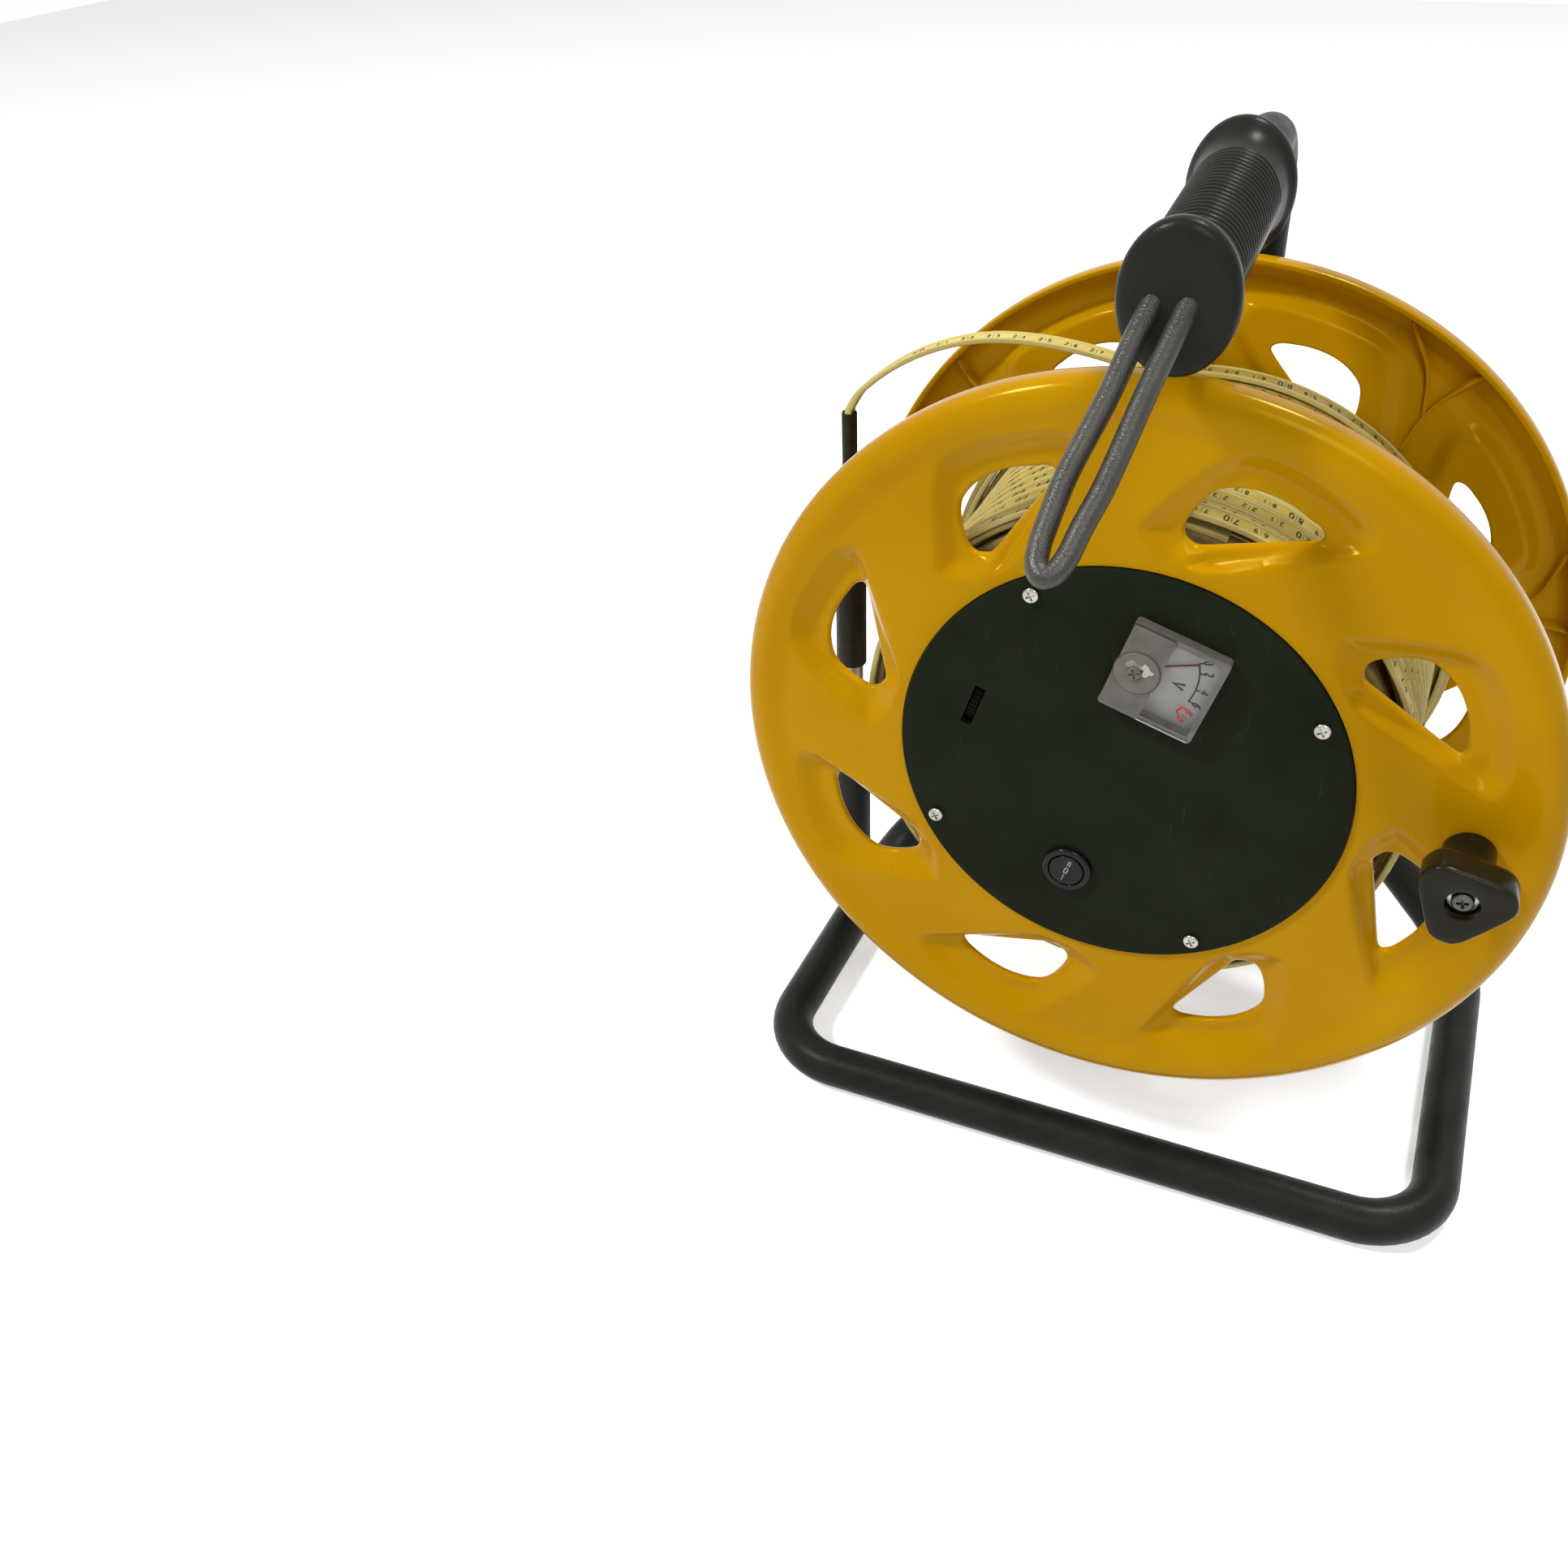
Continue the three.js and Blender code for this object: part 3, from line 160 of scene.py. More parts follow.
class Finish:
    """A material with noise in its colour, roughness and bump, on Object coordinates. Grains are in mm."""

    def __init__(self, name, dark, light, grain, rough, bump, bump_grain, metal=0, stretch=(1, 1, 1),
                 **sockets):
        self.m = bpy.data.materials.new(name)
        self.m.use_nodes = True
        self.t = self.m.node_tree
        self.t.nodes.clear()
        self.bsdf = self.add("ShaderNodeBsdfPrincipled")
        out = self.add("ShaderNodeOutputMaterial")
        self.link(self.bsdf.outputs[0], out.inputs["Surface"])
        self.bsdf.inputs["Metallic"].default_value = metal
        for k, v in sockets.items():
            self.bsdf.inputs[k.replace("_", " ")].default_value = v
        where = self.add("ShaderNodeTexCoord")
        place = self.add("ShaderNodeMapping")
        place.inputs["Scale"].default_value = stretch
        self.link(where.outputs["Object"], place.inputs["Vector"])
        self.at = place.outputs["Vector"]
        patches = self.noise(1000 / grain, 3)
        self.tone = self.add("ShaderNodeValToRGB")
        self.tone.color_ramp.elements[0].position = LOW
        self.tone.color_ramp.elements[1].position = HIGH
        self.tone.color_ramp.elements[0].color = linear(dark)
        self.tone.color_ramp.elements[1].color = linear(light)
        self.link(patches, self.tone.inputs["Fac"])
        self.colour = self.tone.outputs["Color"]
        self.link(self.colour, self.bsdf.inputs["Base Color"])
        dull = self.add("ShaderNodeMapRange")
        dull.inputs["From Min"].default_value = LOW
        dull.inputs["From Max"].default_value = HIGH
        dull.inputs["To Min"].default_value = rough[0]
        dull.inputs["To Max"].default_value = rough[1]
        self.link(self.noise(1000 / (grain * 0.37), 4), dull.inputs["Value"])
        self.link(dull.outputs["Result"], self.bsdf.inputs["Roughness"])
        self.bump = self.add("ShaderNodeBump")
        self.bump.inputs["Strength"].default_value = 1
        self.bump.inputs["Distance"].default_value = bump * MM
        self.link(self.noise(1000 / bump_grain, 3), self.bump.inputs["Height"])
        self.link(self.bump.outputs["Normal"], self.bsdf.inputs["Normal"])

    def add(self, kind, **sets):
        n = self.t.nodes.new(kind)
        for k, v in sets.items():
            setattr(n, k, v)
        return n

    def link(self, a, b):
        self.t.links.new(a, b)

    def noise(self, scale, detail, at=None):
        n = self.add("ShaderNodeTexNoise")
        n.inputs["Scale"].default_value = scale
        n.inputs["Detail"].default_value = detail
        self.link(at or self.at, n.inputs["Vector"])
        return n.outputs["Fac"]

    def overlay(self, amount, colour):
        """Puts a colour over the base where amount is 1."""
        m = self.add("ShaderNodeMix", data_type="RGBA")
        m.inputs[OVER_IN].default_value = linear(colour)
        self.link(amount, m.inputs[SHARE_IN])
        self.link(self.colour, m.inputs[UNDER_IN])
        self.colour = m.outputs[MIXED_OUT]
        self.link(self.colour, self.bsdf.inputs["Base Color"])

    def ramp(self, value, stops):
        r = self.add("ShaderNodeValToRGB")
        e = r.color_ramp.elements
        e[0].position, e[1].position = stops[0][0], stops[-1][0]
        for p, _ in stops[1:-1]:
            e.new(p)
        for k, (p, v) in zip(sorted(e, key=lambda x: x.position), stops):
            k.color = (v, v, v, 1)
        self.link(value, r.inputs["Fac"])
        return r.outputs["Color"]

    def scratches(self, colour, scale, share):
        """Short fine scratches: thin bands of a stretched noise."""
        place = self.add("ShaderNodeMapping")
        place.inputs["Rotation"].default_value = (0.3, 0.7, 0.4)
        place.inputs["Scale"].default_value = (1, 1, 0.06)
        self.link(self.at, place.inputs["Vector"])
        lines = self.noise(scale, 1, place.outputs["Vector"])
        band = self.ramp(lines, [(0.493, 0), (0.5, share), (0.507, 0)])
        gaps = self.ramp(self.noise(scale * 0.12, 2), [(0.56, 0), (0.62, 1)])
        both = self.add("ShaderNodeMath", operation="MULTIPLY")
        self.link(band, both.inputs[0])
        self.link(gaps, both.inputs[1])
        self.overlay(both.outputs[0], colour)

    def worn_edges(self, colour, share):
        """Paler where the surface is sharply convex."""
        g = self.add("ShaderNodeNewGeometry")
        self.overlay(self.ramp(g.outputs["Pointiness"], [(0.52, 0), (0.6, share)]), colour)


yellow = Finish("yellow_plastic", (186, 134, 0), (196, 144, 3), 60, (0.13, 0.2), 0.04, 7,
                Specular_IOR_Level=0.16, Specular_Tint=(1, 0.85, 0.15, 1))
paint = Finish("black_paint", (27, 29, 25), (38, 39, 33), 18, (0.3, 0.45), 0.09, 1.1, Specular_IOR_Level=0.1)
paint.worn_edges((70, 72, 70), 0.4)
paint_grey = Finish("powder_coat", (50, 48, 40), (64, 61, 52), 8, (0.24, 0.36), 0.2, 0.7,
                    Specular_IOR_Level=0.5)
grip_finish = Finish("grip_rubber", (26, 29, 23), (37, 39, 33), 16, (0.22, 0.34), 0.05, 0.8,
                     Specular_IOR_Level=0.1)
panel_finish = Finish("panel_matte", (24, 29, 18), (32, 37, 25), 30, (0.42, 0.55), 0.03, 0.5,
                      Specular_IOR_Level=0.04)
panel_finish.scratches((92, 94, 88), 260, 0.12)
gloss = Finish("black_gloss", (13, 15, 12), (20, 22, 18), 22, (0.1, 0.2), 0.02, 3, Specular_IOR_Level=0.2)
knob_finish = Finish("knob_plastic", (25, 22, 12), (36, 32, 19), 12, (0.16, 0.26), 0.04, 2,
                     Specular_IOR_Level=0.14)
shrink = Finish("shrink_sleeve", (34, 30, 22), (45, 40, 30), 9, (0.4, 0.55), 0.1, 1.5,
                Specular_IOR_Level=0.12)
dark_rubber = Finish("dark_rubber", (14, 15, 12), (21, 22, 18), 5, (0.45, 0.6), 0.08, 0.8,
                     Specular_IOR_Level=0.05)
steel = Finish("brushed_steel", (150, 146, 138), (188, 184, 176), 6, (0.22, 0.42), 0.03, 0.6, metal=1,
               stretch=(1, 1, 0.05))
bright = Finish("plated_steel", (150, 146, 138), (190, 187, 180), 4, (0.16, 0.34), 0.03, 0.4, metal=1)
# Darker steel for the knob bolt's head: painted shade of the deep recess it sits in.
shaded_steel = Finish("steel_painted_shade", (70, 72, 66), (104, 104, 96), 3, (0.34, 0.5), 0.06, 0.4, metal=1)
brass = Finish("brass", (176, 142, 70), (196, 162, 84), 5, (0.25, 0.4), 0.03, 0.6, metal=1)
core = Finish("core_plastic", (196, 130, 24), (210, 146, 32), 20, (0.4, 0.55), 0.06, 3)
white_card = Finish("dial_card", (162, 156, 150), (174, 168, 162), 9, (0.5, 0.6), 0.02, 0.3,
                    Specular_IOR_Level=0.2)
ink = Finish("black_ink", (28, 26, 20), (42, 38, 28), 2, (0.5, 0.6), 0.01, 0.5, Specular_IOR_Level=0.2)
ink_red = Finish("red_ink", (204, 44, 62), (218, 58, 76), 2, (0.5, 0.6), 0.01, 0.5, Specular_IOR_Level=0.2)
ink_pale = Finish("pale_ink", (150, 154, 152), (170, 174, 172), 2, (0.5, 0.6), 0.01, 0.5,
                  Specular_IOR_Level=0.2)
board = Finish("circuit_board", (24, 84, 48), (34, 104, 58), 3, (0.35, 0.5), 0.05, 1)
clear = Finish("clear_plastic", (232, 236, 238), (246, 248, 250), 8, (0.03, 0.09), 0.02, 4,
               Transmission_Weight=1, IOR=1.25)
frosted = Finish("frosted_plastic", (112, 106, 99), (128, 122, 115), 5, (0.3, 0.5), 0.1, 0.6,
                 Transmission_Weight=0.25, IOR=1.4)
frosted_shade = Finish("frosted_shade", (88, 84, 78), (102, 97, 90), 5, (0.4, 0.55), 0.1, 0.6,
                       Transmission_Weight=0.25, IOR=1.4)
# Colour of a flat dark strip by the meter window's right edge: painted shade of the slot there.
slot_painted_shade = Finish("slot_painted_shade", (62, 60, 57), (76, 73, 69), 5, (0.4, 0.55), 0.08, 0.6,
                        Specular_IOR_Level=0.3)
film = Finish("torn_film", (176, 172, 166), (196, 192, 186), 3, (0.25, 0.45), 0.16, 0.5,
              Specular_IOR_Level=0.5)
film_faint = Finish("worn_film", (132, 126, 119), (150, 144, 137), 3, (0.3, 0.5), 0.12, 0.5,
                    Specular_IOR_Level=0.4)
# The wound tape's colour is the free tape's darkened by about 0.85: painted shade on the loops between the
# flanges. tape_pale below is the free tape's own colour.
tape = Finish("tape_plastic", (176, 154, 70), (194, 173, 88), 7, (0.3, 0.42), 0.05, 2,
              Specular_IOR_Level=0.15, Specular_Tint=(1, 0.92, 0.6, 1))
tape_pale = Finish("tape_plastic_free", (208, 188, 100), (224, 205, 122), 7, (0.3, 0.42), 0.05, 2,
                   Specular_IOR_Level=0.15, Specular_Tint=(1, 0.92, 0.6, 1))
# The layers under the winding take a still darker copy of the tape colour: painted shade deep inside the
# reel.
tape_under_painted_shade = Finish("tape_layers", (122, 108, 60), (156, 140, 82), 4, (0.4, 0.55), 0.08, 1,
                    Specular_IOR_Level=0.3)

# Across the tape, along v of its UV map: a pale bead at each edge with a dark wire by it, and fine marks
BEADS = [(0.03, 0.75), (0.12, 0.75), (0.17, 0), (0.83, 0), (0.88, 0.75), (0.97, 0.75)]
WIRES = [(0.15, 0), (0.17, 0.55), (0.19, 0), (0.81, 0), (0.83, 0.55), (0.85, 0)]
MARK_BAND = [(0.69, 0), (0.7, 1), (0.79, 1), (0.8, 0)]
MARK_WIDTH = [(0.05, 0.8), (0.12, 0.8), (0.16, 0)]
for f in (tape, tape_pale):
    uv = f.add("ShaderNodeUVMap", uv_map="along")
    split = f.add("ShaderNodeSeparateXYZ")
    f.link(uv.outputs["UV"], split.inputs["Vector"])
    across = split.outputs["Y"]
    f.overlay(f.ramp(across, BEADS), (206, 192, 128))
    f.overlay(f.ramp(across, WIRES), (118, 104, 62))
    each_mm = f.add("ShaderNodeMath", operation="FRACT")
    f.link(split.outputs["X"], each_mm.inputs[0])
    both = f.add("ShaderNodeMath", operation="MULTIPLY")
    f.link(f.ramp(across, MARK_BAND), both.inputs[0])
    f.link(f.ramp(each_mm.outputs[0], MARK_WIDTH), both.inputs[1])
    f.overlay(both.outputs[0], (70, 62, 40))


# Mesh makers
def add_mesh(name, points, faces, finish, smooth=40, uv=None):
    """Points in mm about the reel's middle, faces as index tuples, uv as one (u, v) for each point."""
    me = bpy.data.meshes.new(name)
    me.from_pydata([tuple(p) for p in reach(points)], [], [tuple(int(i) for i in f) for f in faces])
    me.validate()
    if uv is not None:
        layer = me.uv_layers.new(name="along")
        ids = np.zeros(len(me.loops), int)
        me.loops.foreach_get("vertex_index", ids)
        layer.data.foreach_set("uv", np.array(uv, np.float32)[ids].ravel())
    me.shade_smooth()
    me.set_sharp_from_angle(angle=math.radians(smooth))
    if finish:
        me.materials.append(finish.m)
    o = bpy.data.objects.new(name, me)
    bpy.context.scene.collection.objects.link(o)
    return o


def mend(o, smooth=40, weld=0.00001, outward=True):
    """Merges doubles, turns the faces outwards and sets the shading."""
    bm = bmesh.new()
    bm.from_mesh(o.data)
    bmesh.ops.remove_doubles(bm, verts=bm.verts, dist=weld)
    if outward:
        bmesh.ops.recalc_face_normals(bm, faces=bm.faces)
    bm.to_mesh(o.data)
    bm.free()
    o.data.shade_smooth()
    o.data.set_sharp_from_angle(angle=math.radians(smooth))
    return o


def grid_faces(rows, cols, close_rows=False, close_cols=False, start=0, flip=False):
    f = []
    for i in range(rows if close_rows else rows - 1):
        for k in range(cols if close_cols else cols - 1):
            a, b = i * cols + k, i * cols + (k + 1) % cols
            c, d = ((i + 1) % rows) * cols + (k + 1) % cols, ((i + 1) % rows) * cols + k
            q = (a + start, b + start, c + start, d + start)
            f.append(q[::-1] if flip else q)
    return f


def lathe_points(profile, sides, centre=(0, 0, HUB_Z), axis=(0, 1, 0), wobble=None):
    """A closed profile of (radius, height along the axis) turned about it."""
    w = unit(axis)
    u = unit(np.cross([0, 0, 1] if abs(w[2]) < 0.9 else [1, 0, 0], w))
    v = np.cross(w, u)
    a = np.linspace(0, 2 * np.pi, sides, endpoint=False)
    rows = []
    for r, h in profile:
        rr = r if wobble is None else r + wobble(a, r, h)
        rows.append(np.array(centre) + np.outer(np.cos(a) * rr, u) + np.outer(np.sin(a) * rr, v) + w * h)
    return np.concatenate(rows)


def lathe(name, profile, sides, finish, centre=(0, 0, HUB_Z), axis=(0, 1, 0), smooth=35, closed=True,
          wobble=None):
    p = lathe_points(profile, sides, centre, axis, wobble)
    o = add_mesh(name, p, grid_faces(len(profile), sides, close_rows=closed, close_cols=True), finish)
    return mend(o, smooth)


def arc(cx, cy, rx, ry, a0, a1, n):
    """Points of a quarter or part of an ellipse, for profiles."""
    t = np.radians(np.linspace(a0, a1, n))
    return [(cx + rx * math.cos(x), cy + ry * math.sin(x)) for x in t]


def rounded(corners, radii, steps):
    c = [np.array(p, float) for p in corners]
    out = [c[0]]
    for i in range(1, len(c) - 1):
        a, b = unit(c[i - 1] - c[i]), unit(c[i + 1] - c[i])
        half = math.acos(np.clip(a @ b, -1, 1)) / 2
        r = radii[i - 1]
        mid = c[i] + unit(a + b) * r / math.sin(half)
        p, q = c[i] + a * r / math.tan(half) - mid, c[i] + b * r / math.tan(half) - mid
        total = math.acos(np.clip(unit(p) @ unit(q), -1, 1))
        for k in range(steps + 1):
            s = k / steps
            out.append(mid + (np.sin((1 - s) * total) * p + np.sin(s * total) * q) / math.sin(total))
    return np.array(out + [c[-1]])


def spaced(points, step):
    """The same line with points at most step apart."""
    out = [points[0]]
    for a, b in zip(points[:-1], points[1:]):
        n = max(1, int(math.ceil(np.linalg.norm(b - a) / step)))
        out += [a + (b - a) * k / n for k in range(1, n + 1)]
    return np.array(out)


def catmull(points, steps):
    """A centripetal curve through points, with steps between each two."""
    p = np.array(points, float)
    p = np.vstack([2 * p[0] - p[1], p, 2 * p[-1] - p[-2]])
    out = []
    for i in range(1, len(p) - 2):
        q = p[i - 1:i + 3]
        t = np.concatenate([[0], np.cumsum(np.sqrt(np.linalg.norm(np.diff(q, axis=0), axis=1)))])
        for s in np.linspace(t[1], t[2], steps, endpoint=False):
            a = [q[k] * (t[k + 1] - s) / (t[k + 1] - t[k]) + q[k + 1] * (s - t[k]) / (t[k + 1] - t[k])
                 for k in range(3)]
            b = [a[k] * (t[k + 2] - s) / (t[k + 2] - t[k]) + a[k + 1] * (s - t[k]) / (t[k + 2] - t[k])
                 for k in range(2)]
            out.append(b[0] * (t[2] - s) / (t[2] - t[1]) + b[1] * (s - t[1]) / (t[2] - t[1]))
    return np.array(out + [p[-2]])
def lengths_along(line):
    return np.concatenate([[0], np.cumsum(np.linalg.norm(np.diff(line, axis=0), axis=1))])

def frames(path, side=None, closed=False):
    """The direction, side and up at each point; a fixed side keeps a flat section level."""
    d = np.roll(path, -1, 0) - np.roll(path, 1, 0)
    if not closed:
        d[0], d[-1] = path[1] - path[0], path[-1] - path[-2]
    d /= np.linalg.norm(d, axis=1)[:, None]
    s = np.array(side if side is not None else ([0, 0, 1] if abs(d[0][2]) < 0.9 else [1, 0, 0]), float)
    sides = []
    for w in d:
        base = np.array(side, float) if side is not None else s
        s = unit(base - w * (base @ w))
        sides.append(s)
    sides = np.array(sides)
    return d, sides, np.cross(d, sides)


def sweep_points(path, sections, side=None, closed=False):
    _, s, u = frames(path, side, closed)
    sec = np.array(sections, float)
    if sec.ndim == 2:
        sec = np.repeat(sec[None], len(path), 0)
    points = path[:, None] + sec[:, :, :1] * s[:, None] + sec[:, :, 1:] * u[:, None]
    return points.reshape(-1, 3), sec.shape[1]


def sweep(name, path, sections, finish, side=None, closed=False, smooth=40, uv_length=None, uv_across=None):
    p, n = sweep_points(path, sections, side, closed)
    f = grid_faces(len(path), n, close_rows=closed, close_cols=True)
    if not closed:
        f += [tuple(range(n))[::-1], tuple(range(len(p) - n, len(p)))]
    uv = None
    if uv_length is not None:
        uv = [(a, b) for a in uv_length for b in uv_across]
    o = add_mesh(name, p, f, finish, smooth, uv)
    return mend(o, smooth) if uv is None else mend(o, smooth, weld=1e-7)


def ring_section(r, n):
    a = np.linspace(0, 2 * np.pi, n, endpoint=False)
    return np.stack([np.cos(a) * r, np.sin(a) * r], 1)


# Geometry Nodes trees
class Tree:
    """A node tree with named inputs, run on a mesh and turned into a plain mesh."""

    def __init__(self, name, inputs):
        self.g = bpy.data.node_groups.new(name, "GeometryNodeTree")
        self.ids = {}
        self.g.interface.new_socket("Geometry", in_out="INPUT", socket_type="NodeSocketGeometry")
        for label, kind in inputs:
            self.ids[label] = self.g.interface.new_socket(label, in_out="INPUT", socket_type=kind).identifier
        self.g.interface.new_socket("Geometry", in_out="OUTPUT", socket_type="NodeSocketGeometry")
        self.inp = self.g.nodes.new("NodeGroupInput")
        self.out = self.g.nodes.new("NodeGroupOutput")

    def add(self, kind, **links):
        n = self.g.nodes.new(kind)
        for k, v in links.items():
            s = n.inputs[k.replace("_", " ")]
            if isinstance(v, bpy.types.NodeSocket):
                self.g.links.new(v, s)
            else:
                s.default_value = v
        return n

    def of(self, label):
        return self.inp.outputs[label]

    def math(self, op, a, b):
        n = self.g.nodes.new("ShaderNodeMath")
        n.operation = op
        for s, v in zip(n.inputs, (a, b)):
            if isinstance(v, bpy.types.NodeSocket):
                self.g.links.new(v, s)
            else:
                s.default_value = v
        return n.outputs[0]

    def finish_with(self, geometry, weld=0.00001):
        real = self.add("GeometryNodeRealizeInstances", Geometry=geometry)
        merged = self.add("GeometryNodeMergeByDistance", Geometry=real.outputs[0], Distance=weld)
        last = merged.outputs[0]
        if "Finish" in self.ids:
            last = self.add("GeometryNodeSetMaterial", Geometry=last, Material=self.of("Finish")).outputs[0]
        self.g.links.new(last, self.out.inputs[0])

    def run(self, name, source, smooth=40, **values):
        """Runs on the source object, takes its place and returns the plain piece."""
        mod = source.modifiers.new("tree", "NODES")
        mod.node_group = self.g
        for label, v in values.items():
            mod[self.ids[label.replace("_", " ")]] = v
        bpy.context.view_layer.update()
        me = bpy.data.meshes.new_from_object(source.evaluated_get(bpy.context.evaluated_depsgraph_get()))
        source.modifiers.remove(mod)
        bpy.data.objects.remove(source)
        me.shade_smooth()
        me.set_sharp_from_angle(angle=math.radians(smooth))
        o = bpy.data.objects.new(name, me)
        bpy.context.scene.collection.objects.link(o)
        return o


# Copies turned about an axis parallel to Y through Middle
ring_tree = Tree("ring_of_copies", [("Copies", "NodeSocketInt"), ("First Turn", "NodeSocketFloat"),
                                    ("Middle", "NodeSocketVector"), ("Finish", "NodeSocketMaterial")])
dots = ring_tree.add("GeometryNodePoints", Count=ring_tree.of("Copies"), Position=ring_tree.of("Middle"))
step_turn = ring_tree.math("DIVIDE", 2 * math.pi, ring_tree.of("Copies"))
index = ring_tree.add("GeometryNodeInputIndex").outputs[0]
each_turn = ring_tree.math("ADD", ring_tree.math("MULTIPLY", index, step_turn), ring_tree.of("First Turn"))
spin = ring_tree.add("FunctionNodeEulerToRotation",
                     Euler=ring_tree.add("ShaderNodeCombineXYZ", Y=each_turn).outputs[0])
copies = ring_tree.add("GeometryNodeInstanceOnPoints", Points=dots.outputs[0],
                       Instance=ring_tree.of("Geometry"), Rotation=spin.outputs[0])
ring_tree.finish_with(copies.outputs[0])

# Copies in a row
row_tree = Tree("row_of_copies", [("Copies", "NodeSocketInt"), ("Step", "NodeSocketVector"),
                                  ("Finish", "NodeSocketMaterial")])
line = row_tree.add("GeometryNodeMeshLine", Count=row_tree.of("Copies"), Offset=row_tree.of("Step"))
in_row = row_tree.add("GeometryNodeInstanceOnPoints", Points=line.outputs[0],
                      Instance=row_tree.of("Geometry"))
row_tree.finish_with(in_row.outputs[0])

# Marks picked by number and put on points, each with its own turn and size
print_tree = Tree("printed_marks", [("Marks", "NodeSocketCollection"), ("Finish", "NodeSocketMaterial")])
marks = print_tree.add("GeometryNodeCollectionInfo", Collection=print_tree.of("Marks"),
                       Separate_Children=True, Reset_Children=True)


def named(kind, label):
    n = print_tree.add("GeometryNodeInputNamedAttribute", Name=label)
    n.data_type = kind
    return next(s for s in n.outputs if s.enabled and s.name == "Attribute")


spun = print_tree.add("FunctionNodeEulerToRotation", Euler=named("FLOAT_VECTOR", "turn"))
set_marks = print_tree.add("GeometryNodeInstanceOnPoints", Points=print_tree.of("Geometry"),
                           Instance=marks.outputs[0], Pick_Instance=True, Instance_Index=named("INT", "mark"),
                           Rotation=spun.outputs[0], Scale=named("FLOAT_VECTOR", "size"))
print_tree.finish_with(set_marks.outputs[0], weld=0)

# Marks as strokes in a box one unit high: the digits, then a tick, a V and a double bar
STROKES = [
    [[(.1, .2), (.1, .8), (.2, 1), (.4, 1), (.5, .8), (.5, .2), (.4, 0), (.2, 0), (.1, .2)]],
    [[(.14, .78), (.32, 1), (.32, 0)]],
    [[(.08, .8), (.2, 1), (.4, 1), (.5, .8), (.46, .58), (.08, 0), (.54, 0)]],
    [[(.08, .88), (.2, 1), (.4, 1), (.5, .8), (.44, .58), (.26, .54), (.44, .48), (.52, .2), (.4, 0),
      (.2, 0), (.07, .13)]],
    [[(.42, 0), (.42, 1), (.06, .3), (.58, .3)]],
    [[(.48, 1), (.14, 1), (.1, .54), (.36, .6), (.5, .42), (.5, .16), (.38, 0), (.2, 0), (.07, .12)]],
    [[(.46, .92), (.3, 1), (.14, .8), (.08, .3), (.2, 0), (.4, 0), (.52, .22), (.48, .48), (.34, .58),
      (.12, .42)]],
    [[(.07, 1), (.52, 1), (.24, 0)]],
    [[(.3, .54), (.14, .7), (.16, .92), (.3, 1), (.44, .92), (.46, .7), (.3, .54), (.1, .34), (.12, .08),
      (.3, 0), (.48, .08), (.5, .34), (.3, .54)]],
    [[(.14, .08), (.3, 0), (.46, .2), (.52, .7), (.4, 1), (.2, 1), (.08, .78), (.12, .52), (.26, .42),
      (.48, .58)]],
    [[(.3, -.1), (.3, 1.1)]],
    [[(.02, 1), (.3, 0), (.58, 1)]],
    [[(.14, 1), (.14, 0)], [(.46, 1), (.46, 0)]],
]
TICK, LETTER_V, DOUBLE_BAR = 10, 11, 12


def stroke_mesh(strokes, wide):
    """Flat ribbons along the strokes, mitred at their bends, about the middle of the box."""
    pts, faces = [], []
    for stroke in strokes:
        c = np.array(stroke, float)
        start = len(pts)
        for i, p in enumerate(c):
            a = unit(c[i] - c[i - 1]) if i else unit(c[1] - c[0])
            b = unit(c[i + 1] - c[i]) if i < len(c) - 1 else a
            n = unit(np.array([-(a + b)[1], (a + b)[0]]))
            k = wide / 2 / max(0.6, abs(n @ [-a[1], a[0]]))
            pts += [(*(p + n * k), 0), (*(p - n * k), 0)]
        faces += [(i + 1, i + 3, i + 2, i) for i in range(start, len(pts) - 2, 2)]
    return np.array(pts) - [0.3, 0.5, 0], faces


# Each mark comes thin for the tape and the rocker, and bold for the dial
mark_set = bpy.data.collections.new("marks")
BOLD = len(STROKES)
TICK_LINE, THIN_LINE, BOLD_LINE = 0.1, 0.16, 0.24
for i, strokes in enumerate(STROKES + STROKES):
    p, f = stroke_mesh(strokes, BOLD_LINE if i >= BOLD else TICK_LINE if i == TICK else THIN_LINE)
    me = bpy.data.meshes.new(f"mark_{i:02d}")
    me.from_pydata([tuple(x) for x in p], [], f)
    mark_set.objects.link(bpy.data.objects.new(f"mark_{i:02d}", me))


def printed(name, rows, finish):
    """rows of (mark number, place, reading direction, outward direction, height in mm, width share)."""
    me = bpy.data.meshes.new(name)
    me.from_pydata([tuple(p) for p in reach([r[1] for r in rows])], [], [])
    turns, sizes = [], []
    for r in rows:
        x, z = unit(r[2]), unit(r[3])
        y = np.cross(z, x)
        turns.append(Matrix((x, y, z)).transposed().to_euler())
        sizes.append((r[4] * r[5] * MM, r[4] * MM, MM))
    a = me.attributes.new("mark", "INT", "POINT")
    a.data.foreach_set("value", [r[0] for r in rows])
    a = me.attributes.new("turn", "FLOAT_VECTOR", "POINT")
    a.data.foreach_set("vector", np.array([tuple(t) for t in turns], np.float32).ravel())
    a = me.attributes.new("size", "FLOAT_VECTOR", "POINT")
    a.data.foreach_set("vector", np.array(sizes, np.float32).ravel())
    o = bpy.data.objects.new(name, me)
    bpy.context.scene.collection.objects.link(o)
    return print_tree.run(name, o, Marks=mark_set, Finish=finish.m)


